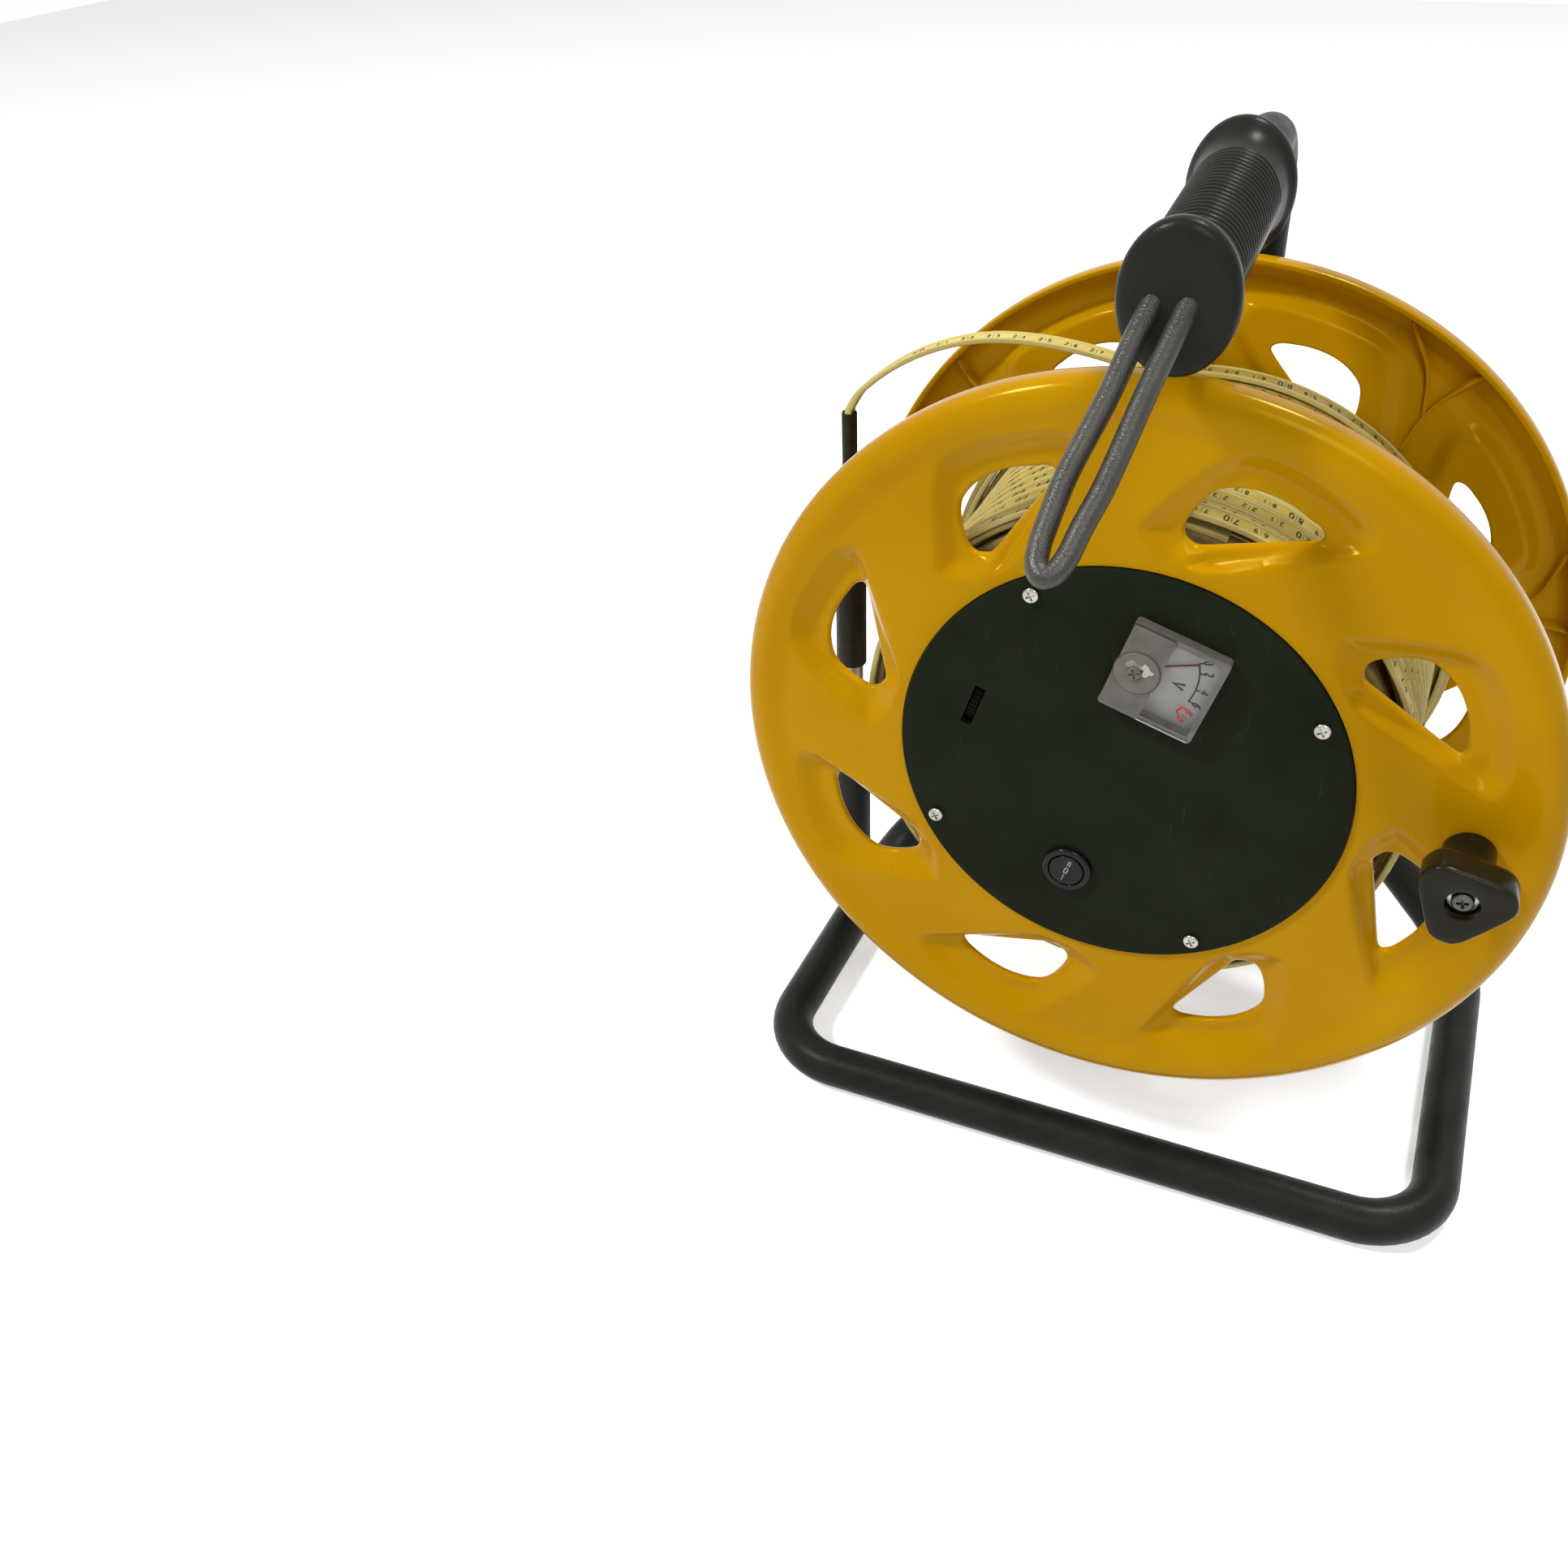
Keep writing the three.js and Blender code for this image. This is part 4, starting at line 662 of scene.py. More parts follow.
# Free tape, from the winding's last loop to the probe
LEAVE = math.radians(74)
WIND_R, LEAVE_R = 94.8, 98.6
LAST_LOOP_Y = 41
lean = math.sqrt(LEAVE_R ** 2 - WIND_R ** 2)
TAPE_START = [WIND_R * math.cos(LEAVE) - lean * math.sin(LEAVE), LAST_LOOP_Y,
              HUB_Z + WIND_R * math.sin(LEAVE) + lean * math.cos(LEAVE)]
ROUTE = [TAPE_START, (-16, 41, 291.8), (-32, 40.8, 296), (-48, 40.4, 299.3), (-66, 39.6, 301.3),
         (-84, 38, 301.2), (-98, 35.6, 298.8), (-110, 32.6, 294.8), (-120, 29.4, 289.6),
         (-128, 26.2, 283.8), (-134, 23.6, 278), (-137.6, 22, 271.6)]
free_line = catmull(ROUTE, 8)
shown_length = float(lengths_along(free_line)[-1])
# The tape runs on as a slim lead through both sleeves into the probe
free_line = np.vstack([free_line, [(PROBE_X, PROBE_Y, z) for z in np.arange(262, 149, -8)]])


def tape_section(share=1, thick=1):
    """Two beads with a flat web between, 9 mm wide."""
    w = 4.5 * share
    half = [(w, 0), (w * .97, .75), (w * .86, 1.15), (w * .76, .95), (w * .68, .62), (0, .58)]
    top = half + [(-x, y) for x, y in half[-2::-1]]
    full = top + [(x, -y) for x, y in top[-2:0:-1]]
    return np.array(full) * [1, thick]


def tape_across(section):
    w = np.abs(section[:, 0]).max()
    return [0.5 + s / (2 * w) for s in section[:, 0]]


lengths = lengths_along(free_line)
shares = np.interp(lengths / shown_length, [0, 0.82, 0.9, 1], [1, 1, 0.85, 0.6])
sections = [tape_section(s, 1 + 0.5 * (1 - s)) for s in shares]
free_tape = sweep("free_tape", free_line, sections, tape_pale, side=(0, 1, 0),
                  uv_length=lengths, uv_across=tape_across(tape_section()))
FIGURE_HIGH, TEN_HIGH = 2.7, 3.6


def number_rows(line, start, stop, first, gap=10):
    """Two-figure centimetre numbers with a tick between them, read against the line's direction."""
    total = lengths_along(line)
    _, _, ups = frames(line, (0, 1, 0))
    rows = []
    for k, at in enumerate(np.arange(start, stop, gap)):
        value = (first - k) % 100
        high = TEN_HIGH if value % 10 == 0 else FIGURE_HIGH
        for mark, offset in ((value // 10, -1.75), (TICK, 0), (value % 10, 1.75)):
            where = at - offset
            i = max(min(np.searchsorted(total, where), len(line) - 1), 1)
            t = (where - total[i - 1]) / (total[i] - total[i - 1])
            p = line[i - 1] + (line[i] - line[i - 1]) * t
            up = unit(ups[i - 1] + (ups[i] - ups[i - 1]) * t)
            up = up if up @ (p - [0, p[1], HUB_Z - 60]) > 0 else -up
            ahead = -unit(line[i] - line[i - 1])
            on_top = p + up * 0.68 + np.array([0, -0.4, 0])
            rows.append((mark, on_top, ahead, up, high, 0.6 if mark == TICK else 0.95))
    return rows


free_marks = printed("free_tape_print", number_rows(free_line, 6, shown_length * 0.86, 31), ink)


def joined(name, objects, smooth=40):
    """One plain mesh from several pieces, keeping their finishes."""
    bm = bmesh.new()
    mats, me = [], bpy.data.meshes.new(name)
    for o in objects:
        first = len(bm.faces)
        bm.from_mesh(o.data)
        bm.faces.ensure_lookup_table()
        order = []
        for m in o.data.materials:
            if m not in mats:
                mats.append(m)
            order.append(mats.index(m))
        for f in bm.faces[first:]:
            f.material_index = order[f.material_index] if order else 0
    bm.to_mesh(me)
    bm.free()
    for m in mats:
        me.materials.append(m)
    for o in objects:
        bpy.data.objects.remove(o)
    me.shade_smooth()
    me.set_sharp_from_angle(angle=math.radians(smooth))
    o = bpy.data.objects.new(name, me)
    bpy.context.scene.collection.objects.link(o)
    return o


# Outer winding, turn beside turn from the front to the free tape, with some loops of the next layer
STEPS = 96
PITCH = 9.6
EXTRA_LOOPS = [(-55.2, 97.4), (51.2, 94.8), (57, 97.2), (51.2, 99.6), (57, 102)]
turns = np.arange(WINDINGS * STEPS + 1)
left = turns[-1] - turns
angle = LEAVE - left * 2 * np.pi / STEPS
shift = LAST_LOOP_Y - left * PITCH / STEPS
ease = smooth_step(left / 60) * smooth_step(turns / 60)
side_jitter = 0.22 * np.sin(angle * 1.7 + 0.5) * ease + 0.12 * np.sin(angle * 5.3) * ease
rise = 0.25 * np.sin(angle * 0.9 + 1) * ease
dive = 2.2 * (1 - smooth_step(turns / 12))
wound_r = WIND_R + rise - dive
wound = np.stack([wound_r * np.cos(angle), shift + side_jitter, HUB_Z + wound_r * np.sin(angle)], 1)
leaving = wound[-1] + np.outer(np.linspace(0, 1, 6)[1:], np.array(TAPE_START) - wound[-1])
wound = np.vstack([wound, leaving])
wound_length = lengths_along(wound)
across = tape_across(tape_section())
loops = [sweep("tape_winding", wound, tape_section(), tape, side=(0, 1, 0),
               uv_length=wound_length, uv_across=across)]
print_rows = number_rows(wound[::-1], 14, wound_length[-1] - 20, 31 + 69)
for i, (y, r) in enumerate(EXTRA_LOOPS):
    a = np.arange(STEPS) * 2 * np.pi / STEPS
    loop_r = r + 0.2 * np.sin(a + i)
    loop = np.stack([loop_r * np.cos(a), y + 0.25 * np.sin(2 * a + i), HUB_Z + loop_r * np.sin(a)], 1)
    run = np.arange(STEPS) * 2 * np.pi * r / STEPS
    loops.append(sweep(f"loop_{i}", loop, tape_section(), tape, side=(0, 1, 0), closed=True,
                       uv_length=run, uv_across=across))
    print_rows += number_rows(loop[::-1], 8, run[-1] - 8, 17 + 23 * i)
winding = joined("tape_winding", loops)
winding_marks = printed("winding_print", print_rows, ink)

# Layers under it, one closed profile: their front edges, the tops of the last ones and their rear edges
layers = [(70.4, -59.8)]
for k in range(8):
    layers += [(70.6 + k * 2.7, -60), (71.6 + k * 2.7, -60.6 + 0.3 * (k % 3)), (72.7 + k * 2.7, -60)]
for k in range(12):
    y = -60 + k * 10
    layers += [(90.6, y + 0.2), (91.7, y + 1.2), (91.9, y + 3), (91.5, y + 5), (91.9, y + 7),
               (91.7, y + 8.8), (90.6, y + 9.8)]
for k in range(7, -1, -1):
    layers += [(72.7 + k * 2.7, 60), (71.6 + k * 2.7, 60.6 - 0.3 * (k % 3)), (70.6 + k * 2.7, 60)]
layers += [(70.4, 59.8)]
inner_tape = lathe("inner_tape", layers, 144, tape_under_painted_shade, smooth=50)


# Flanges: one eighth of the plate, a window in its pocket, then eight copies
WINDOW = [(88, 24), (89, 27), (92, 29), (97, 29.3), (103, 28.5), (108, 26.5), (111.5, 22.5), (114, 17.5),
          (115.5, 11.5), (115.8, 4.5), (115, -1.5), (114, -6), (112, -8.3), (110, -7.5), (106, -2.5),
          (100, 5.5), (94, 13.5), (89.5, 19.5), (88, 22)]
POCKET = [(81.5, 38), (84.5, 42.5), (90, 42), (104, 38.4), (118, 33.5), (125.5, 28), (129.3, 18),
          (130, 2), (128.6, -12), (125.6, -20), (120, -23.3), (114, -21.2), (100, -6.5), (86, 9.5),
          (79.5, 26)]
CENTRE = np.array([102.5, 11.0])
COPIES = 8
SECTOR, SECTOR_START = 45, -16.5
PLATE_IN_R, PLATE_OUT_R = 80.3, 132
ARC_STEPS, SIDE_STEPS = 30, 28


def closed_curve(points, steps):
    p = np.array([(x, y, 0) for x, y in points], float)
    n = len(p)
    out = []
    for i in range(n):
        q = [p[(i + k - 1) % n] for k in range(4)]
        for s in np.linspace(0, 1, steps, endpoint=False):
            out.append(0.5 * (2 * q[1] + (q[2] - q[0]) * s + (2 * q[0] - 5 * q[1] + 4 * q[2] - q[3]) * s ** 2
                              + (3 * q[1] - q[0] - 3 * q[2] + q[3]) * s ** 3))
    return np.array(out)[:, :2]


def distance_to(points, line):
    """The least distance from each point to a closed polyline."""
    best = np.full(len(points), 1e9)
    for p, q in zip(line, np.roll(line, -1, 0)):
        t = np.clip(((points - p) @ (q - p)) / max((q - p) @ (q - p), 1e-9), 0, 1)
        best = np.minimum(best, np.linalg.norm(points - p - t[:, None] * (q - p), axis=1))
    return best


def inside(points, line):
    odd = np.zeros(len(points), bool)
    for p, q in zip(line, np.roll(line, -1, 0)):
        hit = (p[1] > points[:, 1]) != (q[1] > points[:, 1])
        with np.errstate(divide="ignore", invalid="ignore"):
            x = p[0] + (points[:, 1] - p[1]) * (q[0] - p[0]) / (q[1] - p[1])
        odd ^= hit & (points[:, 0] < x)
    return odd


window_line = closed_curve(WINDOW, 6)
pocket_line = closed_curve(POCKET, 5)
DIAGONAL = np.array([(121, -27.5), (79, 17)], float)
ACROSS_DIAGONAL = unit([DIAGONAL[0][1] - DIAGONAL[1][1], DIAGONAL[1][0] - DIAGONAL[0][0]])


def from_diagonal(p):
    """How far points lie from the pocket's straight side."""
    return np.abs((p - DIAGONAL[0]) @ ACROSS_DIAGONAL)


def land(r):
    return 71.2 + 1.8 * smooth_step((r - 126) / 11)


def outer_height(p):
    """The plate's outer face: its land, less the pocket, which is steep on its straight side only."""
    r = np.linalg.norm(p, axis=1)
    into_pocket = np.where(inside(p, pocket_line), distance_to(p, pocket_line), 0)
    from_curved = np.full(len(p), 1e9)
    for q in pocket_line[from_diagonal(pocket_line) > 3.5]:
        from_curved = np.minimum(from_curved, np.linalg.norm(p - q, axis=1))
    depth = 4.4 * smooth_step(from_diagonal(p) / 5.5) * smooth_step(from_curved / 10)
    return land(r) - np.where(into_pocket > 0, depth * smooth_step(into_pocket / 2.5), 0)


def inner_height(p):
    """The plate's inner face: a mound under the pocket, a flat by the hub and one by the rim."""
    r = np.linalg.norm(p, axis=1)
    d = distance_to(p, pocket_line) * np.where(inside(p, pocket_line), 1, -1)
    mound = smooth_step((d + 5.5) / 8)
    base = land(r) - 3 - 1.2 * smooth_step((r - 84) / 8) * smooth_step((129 - r) / 8)
    level = base * (1 - mound) + 63.7 * mound
    near_hub = smooth_step((84.5 - r) / 4.2)
    near_rim = smooth_step((r - 126) / 6)
    level = level * (1 - near_hub) + 66.4 * near_hub
    return level * (1 - near_rim) + 69.2 * near_rim


def polar(r, deg):
    a = math.radians(deg)
    return np.array([r * math.cos(a), r * math.sin(a)])


NEAR_WINDOW = [0, 0.25, 0.6, 1.05, 1.6, 2.2, 3.0, 4.0]
FAR_STEPS = 20


def sector():
    """One eighth of the plate with its rim and ledge, as points and faces."""
    sector_end = SECTOR_START + SECTOR
    turned = [SECTOR * k / ARC_STEPS for k in range(ARC_STEPS)]
    outward = [(PLATE_OUT_R - PLATE_IN_R) * k / SIDE_STEPS for k in range(SIDE_STEPS)]
    edge = [polar(PLATE_IN_R, SECTOR_START + t) for t in turned]
    edge += [polar(PLATE_IN_R + s, sector_end) for s in outward]
    edge += [polar(PLATE_OUT_R, sector_end - t) for t in turned]
    edge = np.array(edge + [polar(PLATE_OUT_R - s, SECTOR_START) for s in outward])
    n = len(edge)
    start = []
    for e in edge:
        v = unit(e - CENTRE)
        hits = []
        for p, q in zip(window_line, np.roll(window_line, -1, 0)):
            m = np.array([v, p - q]).T
            if abs(np.linalg.det(m)) > 1e-9:
                t, s = np.linalg.solve(m, p - CENTRE)
                if 0 <= s <= 1 and t > 0:
                    hits.append(t)
        start.append(CENTRE + v * min(hits))
    start = np.array(start)
    span = np.linalg.norm(edge - start, axis=1)
    last = NEAR_WINDOW[-1]
    shares = [np.minimum(d / span, 0.5 * d / last) for d in NEAR_WINDOW]
    base = np.minimum(last / span, 0.5)
    shares += [base + (1 - base) * k / FAR_STEPS for k in range(1, FAR_STEPS + 1)]
    flat = np.concatenate([start + (edge - start) * t[:, None] for t in shares])
    rows = len(shares)
    from_window = distance_to(flat, window_line)
    by_diagonal = smooth_step((13.5 - from_diagonal(flat)) / 4)

    def rounding(r):
        hollow = np.sqrt(np.maximum(r ** 2 - (r - from_window) ** 2, 0))
        return np.where(from_window < r, r - hollow, 0)

    top = outer_height(flat) - rounding(1.4 + 1.0 * by_diagonal)
    under = np.minimum(inner_height(flat) + rounding(1.1 - 0.4 * by_diagonal), top - 0.2)
    pts = np.concatenate([np.stack([flat[:, 0], -y, flat[:, 1]], 1) for y in (top, under)])
    faces = grid_faces(rows, n, close_cols=True)
    faces += grid_faces(rows, n, close_cols=True, start=rows * n, flip=True)
    faces += [(k, rows * n + k, rows * n + (k + 1) % n, (k + 1) % n) for k in range(n)]

    rim = [(r, float(land(r))) for r in (PLATE_OUT_R, 133, 134, 135.2)]
    rim += arc(136.5, 66.5, 7.8, 6.5, 90, 0, 12) + [(144.3, 63.6), (144.1, 61.6), (143.6, 61), (142.2, 61)]
    rim += [(141.7, 61.5), (141.4, 64)] + arc(135.5, 65, 5.9, 4.8, 5, 90, 8)
    rim += [(134, 69.5), (PLATE_OUT_R, 69.2)]
    plate_edge = float(outer_height(np.array([[PLATE_IN_R, 0.0]]))[0])
    ledge = [(PLATE_IN_R, plate_edge), (PLATE_IN_R, 69.4), (79, 69.4), (62.4, 69.4), (62, 69), (62, 66.8),
             (62.4, 66.4), (79, 66.4), (PLATE_IN_R, 66.4)]
    for profile in (rim, ledge):
        swept = []
        for r, height in profile:
            for k in range(ARC_STEPS + 1):
                x, z = polar(r, SECTOR_START + SECTOR * k / ARC_STEPS)
                swept.append((x, -height, z))
        faces += grid_faces(len(profile), ARC_STEPS + 1, start=len(pts))
        pts = np.concatenate([pts, swept])
    return pts, faces


RIB_SECTION = [(0.8, 70.2), (0.8, 66.2), (0.35, 65.6), (-0.35, 65.6), (-0.8, 66.2), (-0.8, 70.2)]


def rib_walls(ribs):
    """Thin walls on the inner face, each following points given as (radius, degrees)."""
    pts, faces = [], []
    for rib in ribs:
        path = catmull([(*polar(r, a), 0) for r, a in rib], 5)
        _, _, u = frames(path, (0, 0, 1))
        base = len(pts)
        for p, w in zip(path, u):
            for side, deep in RIB_SECTION:
                q = p + w * side
                pts.append((q[0], -deep, q[1]))
        n = len(RIB_SECTION)
        faces += grid_faces(len(path), n, close_cols=True, start=base)
        faces += [tuple(range(base, base + n))[::-1], tuple(range(len(pts) - n, len(pts)))]
    return pts, faces


RIBS = [[(140, 14.5), (135, 17.5), (130.5, 20.5), (126, 22.6), (120, 24.9), (116.5, 26.5)],
        [(141, 27.8), (136.5, 27.3), (130, 26.8), (123, 26.4), (117, 26.6), (109.5, 27.5), (102.5, 29)]]
plate, plate_faces = sector()


def flange(name, first_turn, rear):
    sign = np.array([1, -1, -1]) if rear else np.array([1, 1, 1])
    made = []
    for part, (p, f) in (("plate", (plate, plate_faces)), ("ribs", rib_walls(RIBS))):
        me = bpy.data.meshes.new(name + part)
        me.from_pydata([tuple(x) for x in np.array(p) * sign * MM], [], f)
        o = bpy.data.objects.new(name + part, me)
        bpy.context.scene.collection.objects.link(o)
        ring = ring_tree.run(name + part, o, Copies=COPIES, First_Turn=-math.radians(first_turn),
                             Middle=REEL_MIDDLE, Finish=yellow.m)
        made.append(mend(ring, 50))
    return joined(name, made, 50)


front_flange = flange("front_flange", 20, False)
rear_flange = flange("rear_flange", 32.5, True)

# Rear cover
cover = [(7.6, 69.7), (80, 69.7), (80, 71.2)] + arc(78.6, 71.2, 1.4, 1.4, 0, 90, 6)
cover += [(60, 72.6), (30, 72.6), (15.5, 72.6)] + arc(15.5, 73.4, 0.8, 0.8, 270, 180, 4)
cover += [(14.3, 75)] + arc(10.3, 74.5, 4, 4, 0, 90, 8) + [(8, 78.5), (7.6, 78.3)]
rear_cover = lathe("rear_cover", cover, 128, gloss, smooth=40)

# Instrument panel, with its own right and up
PANEL_TURN = math.radians(107.8)


def panel_point(right, up, y):
    c, s = math.cos(PANEL_TURN), math.sin(PANEL_TURN)
    return np.array([right * c + up * s, y, HUB_Z - right * s + up * c])


PANEL_RIGHT = panel_point(1, 0, 0) - [0, 0, HUB_Z]
PANEL_UP = panel_point(0, 1, 0) - [0, 0, HUB_Z]
METER = (-45.36, -0.31)
SWITCH = (47.35, 0.6)
SLOT = (0.1, -55.6)
SCREWS = [tuple(polar(73.8, 27.5 + 90 * k)) for k in range(4)]
TO_FRONT = (0, -1, 0)


def front_arc(*sizes):
    """An arc for a profile on the reel's front side, where y is negative."""
    return [(r, -y) for r, y in arc(*sizes)]


def panel_box(name, right, up, y0, y1, wide, high, finish=None):
    """A plain box, square to the panel's right and up."""
    corners = ((-1, -1), (1, -1), (1, 1), (-1, 1))
    points = [panel_point(right + sx * wide / 2, up + sz * high / 2, y)
              for y in (y0, y1) for sx, sz in corners]
    return mend(add_mesh(name, points, BOX_FACES, finish))


def cut(o, cutters, smooth=35):
    for c in cutters:
        mod = o.modifiers.new("cut", "BOOLEAN")
        mod.object = c
        mod.solver = "EXACT"
        bpy.context.view_layer.update()
        me = bpy.data.meshes.new_from_object(o.evaluated_get(bpy.context.evaluated_depsgraph_get()))
        o.modifiers.remove(mod)
        o.data = me
        bpy.data.objects.remove(c)
    o.data.shade_smooth()
    o.data.set_sharp_from_angle(angle=math.radians(smooth))
    return o


panel_profile = [(0, -69.7), (79.9, -69.7), (79.9, -71.9)] + front_arc(79.1, 71.9, 0.8, 0.8, 0, 90, 5)
panel_profile += [(60, -72.7), (30, -72.7), (0, -72.7)]
panel = lathe("instrument_panel", panel_profile, 128, panel_finish, smooth=35)
CUT_FRONT, CUT_BACK = -76, -66


def round_cutter(name, radius, sides, centre):
    profile = [(0, CUT_FRONT), (radius, CUT_FRONT), (radius, CUT_BACK), (0, CUT_BACK)]
    return lathe(name, profile, sides, None, centre=centre)


cutters = [panel_box("cut_meter", *METER, CUT_FRONT, CUT_BACK, 28.6, 28.6),
           panel_box("cut_slot", *SLOT, CUT_FRONT, CUT_BACK, 17, 4),
           round_cutter("cut_switch", 7.9, 48, panel_point(*SWITCH, 0))]
cutters += [round_cutter(f"cut_screw_{i}", 1.75, 20, (x, 0, HUB_Z + z)) for i, (x, z) in enumerate(SCREWS)]
panel = cut(panel, cutters)
posts = [lathe(f"post_{sx}_{sz}", [(0, -70.5), (2.5, -70.5), (2.5, -39.1), (0, -39.1)], 24, panel_finish,
               centre=panel_point(27 * sx, -8 + 18 * sz, 0)) for sx in (-1, 1) for sz in (-1, 1)]
panel = joined("instrument_panel", [panel] + posts, 35)

# Screws on the panel, with crossed slots
screw_profile = [(0, -74.6)] + front_arc(1.9, 73.6, 1.0, 0.95, 90, 0, 6)
screw_profile += [(2.9, -73), (1.4, -73), (1.4, -64), (0, -63)]


def crossed_screw(name, profile, centre, top, size, deep, turned_by=0.5, finish=bright):
    head = lathe(name, profile, 32, finish, centre=centre, smooth=30)
    long, narrow = size / 2, size * 0.24 / 2
    for a in (turned_by, turned_by + math.pi / 2):
        points = []
        for y in (top - 1, top + deep):
            for x, z in ((-long, -narrow), (long, -narrow), (long, narrow), (-long, narrow)):
                points.append((centre[0] + x * math.cos(a) - z * math.sin(a), y,
                               centre[2] + x * math.sin(a) + z * math.cos(a)))
        head = cut(head, [mend(add_mesh("slot_cut", points, BOX_FACES, None))], 30)
    return head


first_screw = (SCREWS[0][0], 0, HUB_Z + SCREWS[0][1])
screws = crossed_screw("panel_screws", screw_profile, first_screw, -74.6, 3.4, 0.9)
screws.data.transform(Matrix.Translation(-Vector(REEL_MIDDLE)))
screws = ring_tree.run("panel_screws", screws, Copies=len(SCREWS), First_Turn=0.0, Middle=REEL_MIDDLE,
                       Finish=bright.m)

# Meter, the face of its window at FRONT
FRONT = -78.4
METER_WIDE = 34


def plate_on_panel(name, y0, y1, wide, high, corner, finish, edge, up=METER[1]):
    """A rounded plate in line with the meter, its front edge softened."""
    def outline(inset):
        r = max(corner - inset, 0.05)
        return [(cx * (wide / 2 - corner) + r * math.cos(a), cz * (high / 2 - corner) + r * math.sin(a))
                for cx, cz, a0 in ((1, 1, 0), (-1, 1, 90), (-1, -1, 180), (1, -1, 270))
                for a in np.radians(np.linspace(a0, a0 + 90, 6))]

    levels = [(0, y0), (0, y1 + edge), (edge * 0.3, y1 + edge * 0.3), (edge, y1)]
    pts = [panel_point(METER[0] + x, up + z, y) for inset, y in levels for x, z in outline(inset)]
    n = len(pts) // len(levels)
    faces = grid_faces(len(levels), n, close_cols=True)
    faces += [tuple(range(n))[::-1], tuple(range(len(pts) - n, len(pts)))]
    return mend(add_mesh(name, pts, faces, finish), 30)


walls = plate_on_panel("meter_walls", -73, FRONT + 0.9, METER_WIDE, METER_WIDE, 1.2, frosted, 0.05)
walls = cut(walls, [plate_on_panel("meter_hollow", -72, FRONT, 30, 30, 0.6, None, 0.1)], 30)
glass = plate_on_panel("meter_glass", FRONT + 0.88, FRONT, METER_WIDE, METER_WIDE, 1.2, clear, 0.4)
# A flat dark strip along the window's right edge: painted shade of the slot there.
slot_shade_strip = panel_box("meter_trough", METER[0] + 12.7, METER[1] + 6.7, FRONT + 0.05, FRONT - 0.05, 1.7, 16.6,
                   slot_painted_shade)
# A thin pale strip in the film's colour just inside the window's right edge: a painted highlight on that
# edge.
edge_highlight_strip = panel_box("meter_lip", METER[0] + 16.55, METER[1] + 6.7, FRONT + 0.3, FRONT - 0.1, 0.4, 18.4, film)
low = plate_on_panel("meter_low_half", FRONT + 0.05, FRONT - 0.02, 33, 14.6, 0.8, frosted, 0.05,
                     up=METER[1] - 9.4)
hub_at = panel_point(METER[0], METER[1] - 9.2, 0)
hub_cover = lathe("meter_hub_cover",
                  [(0, FRONT + 0.1), (7.7, FRONT + 0.1), (7.7, FRONT - 0.45), (7.5, FRONT - 0.7),
                   (2.4, FRONT - 0.7), (2.3, FRONT - 0.5), (0, FRONT - 0.5)],
                  64, frosted, centre=hub_at, smooth=30)
hub_ring = lathe("meter_hub_ring",
                 [(7.7, FRONT + 0.1), (8.15, FRONT + 0.1), (8.15, FRONT - 0.2), (7.7, FRONT - 0.2)],
                 64, frosted_shade, centre=hub_at, smooth=30)


def film_scrap(name, points, y, finish):
    """A torn scrap of the window's protective film, given as points (right, up) on the panel."""
    outline = catmull([(*q, 0) for q in [*points, points[0]]], 3)[:-1, :2]
    n = len(outline)
    rough = np.random.default_rng(len(points)).uniform(-0.12, 0.12, (n, 2))
    front = [panel_point(*q, y) for q in outline + rough]
    back = [panel_point(*q, y + 0.8) for q in outline + rough]
    faces = [tuple(range(n)), tuple(range(2 * n - 1, n - 1, -1))]
    faces += [(k, n + k, n + (k + 1) % n, (k + 1) % n) for k in range(n)]
    return mend(add_mesh(name, front + back, faces, finish), 30)


SCRAP = [(-48.8, -8.9), (-50.2, -8.2), (-49.5, -6.8), (-48.7, -5.8), (-48.3, -4.6), (-47.3, -4.6),
         (-46.9, -5.6), (-46.0, -6.0), (-45.4, -7.4), (-46.4, -8.0), (-47.6, -7.6), (-48.2, -9.1)]
FAINT_SCRAP = [(-48.1, -14.1), (-49.5, -13.0), (-49.5, -11.7), (-49.0, -10.3), (-49.2, -8.7), (-46.8, -8.9),
               (-46.2, -10.7), (-46.7, -12.7), (-47.0, -14.0)]
scraps = [film_scrap("film_scrap", SCRAP, FRONT - 0.86, film),
          film_scrap("film_rest", FAINT_SCRAP, FRONT - 0.78, film_faint)]
rib = panel_box("meter_rib", METER[0], METER[1] - 16.2, FRONT + 0.05, FRONT - 0.12, 31, 0.3, frosted)
ribs = row_tree.run("meter_ribs", rib, Copies=17, Step=tuple(PANEL_UP * 0.8 * MM), Finish=frosted.m)
meter_cover = joined("meter_cover", [walls, glass, low, hub_cover, hub_ring, ribs, slot_shade_strip, edge_highlight_strip, *scraps], 30)
dial = plate_on_panel("meter_dial", -73.3, -73.8, 30.4, 30.4, 0.6, white_card, 0.05)
pivot = np.array([METER[0], METER[1] - 10])


def on_dial(radius, deg, y=-73.86):
    a = math.radians(deg)
    return panel_point(pivot[0] - radius * math.sin(a), pivot[1] + radius * math.cos(a), y)


def dial_band(name, deg0, deg1, r0, r1, finish, steps=24):
    pts = [on_dial(r, deg0 + (deg1 - deg0) * k / steps) for r in (r0, r1) for k in range(steps + 1)]
    o = add_mesh(name, pts, grid_faces(2, steps + 1), finish)
    if o.data.polygons[0].normal.y > 0:
        o.data.flip_normals()
    return o


def along_dial(deg):
    """The way a figure is read on the dial."""
    a = math.radians(deg)
    return math.cos(a) * PANEL_RIGHT + math.sin(a) * PANEL_UP


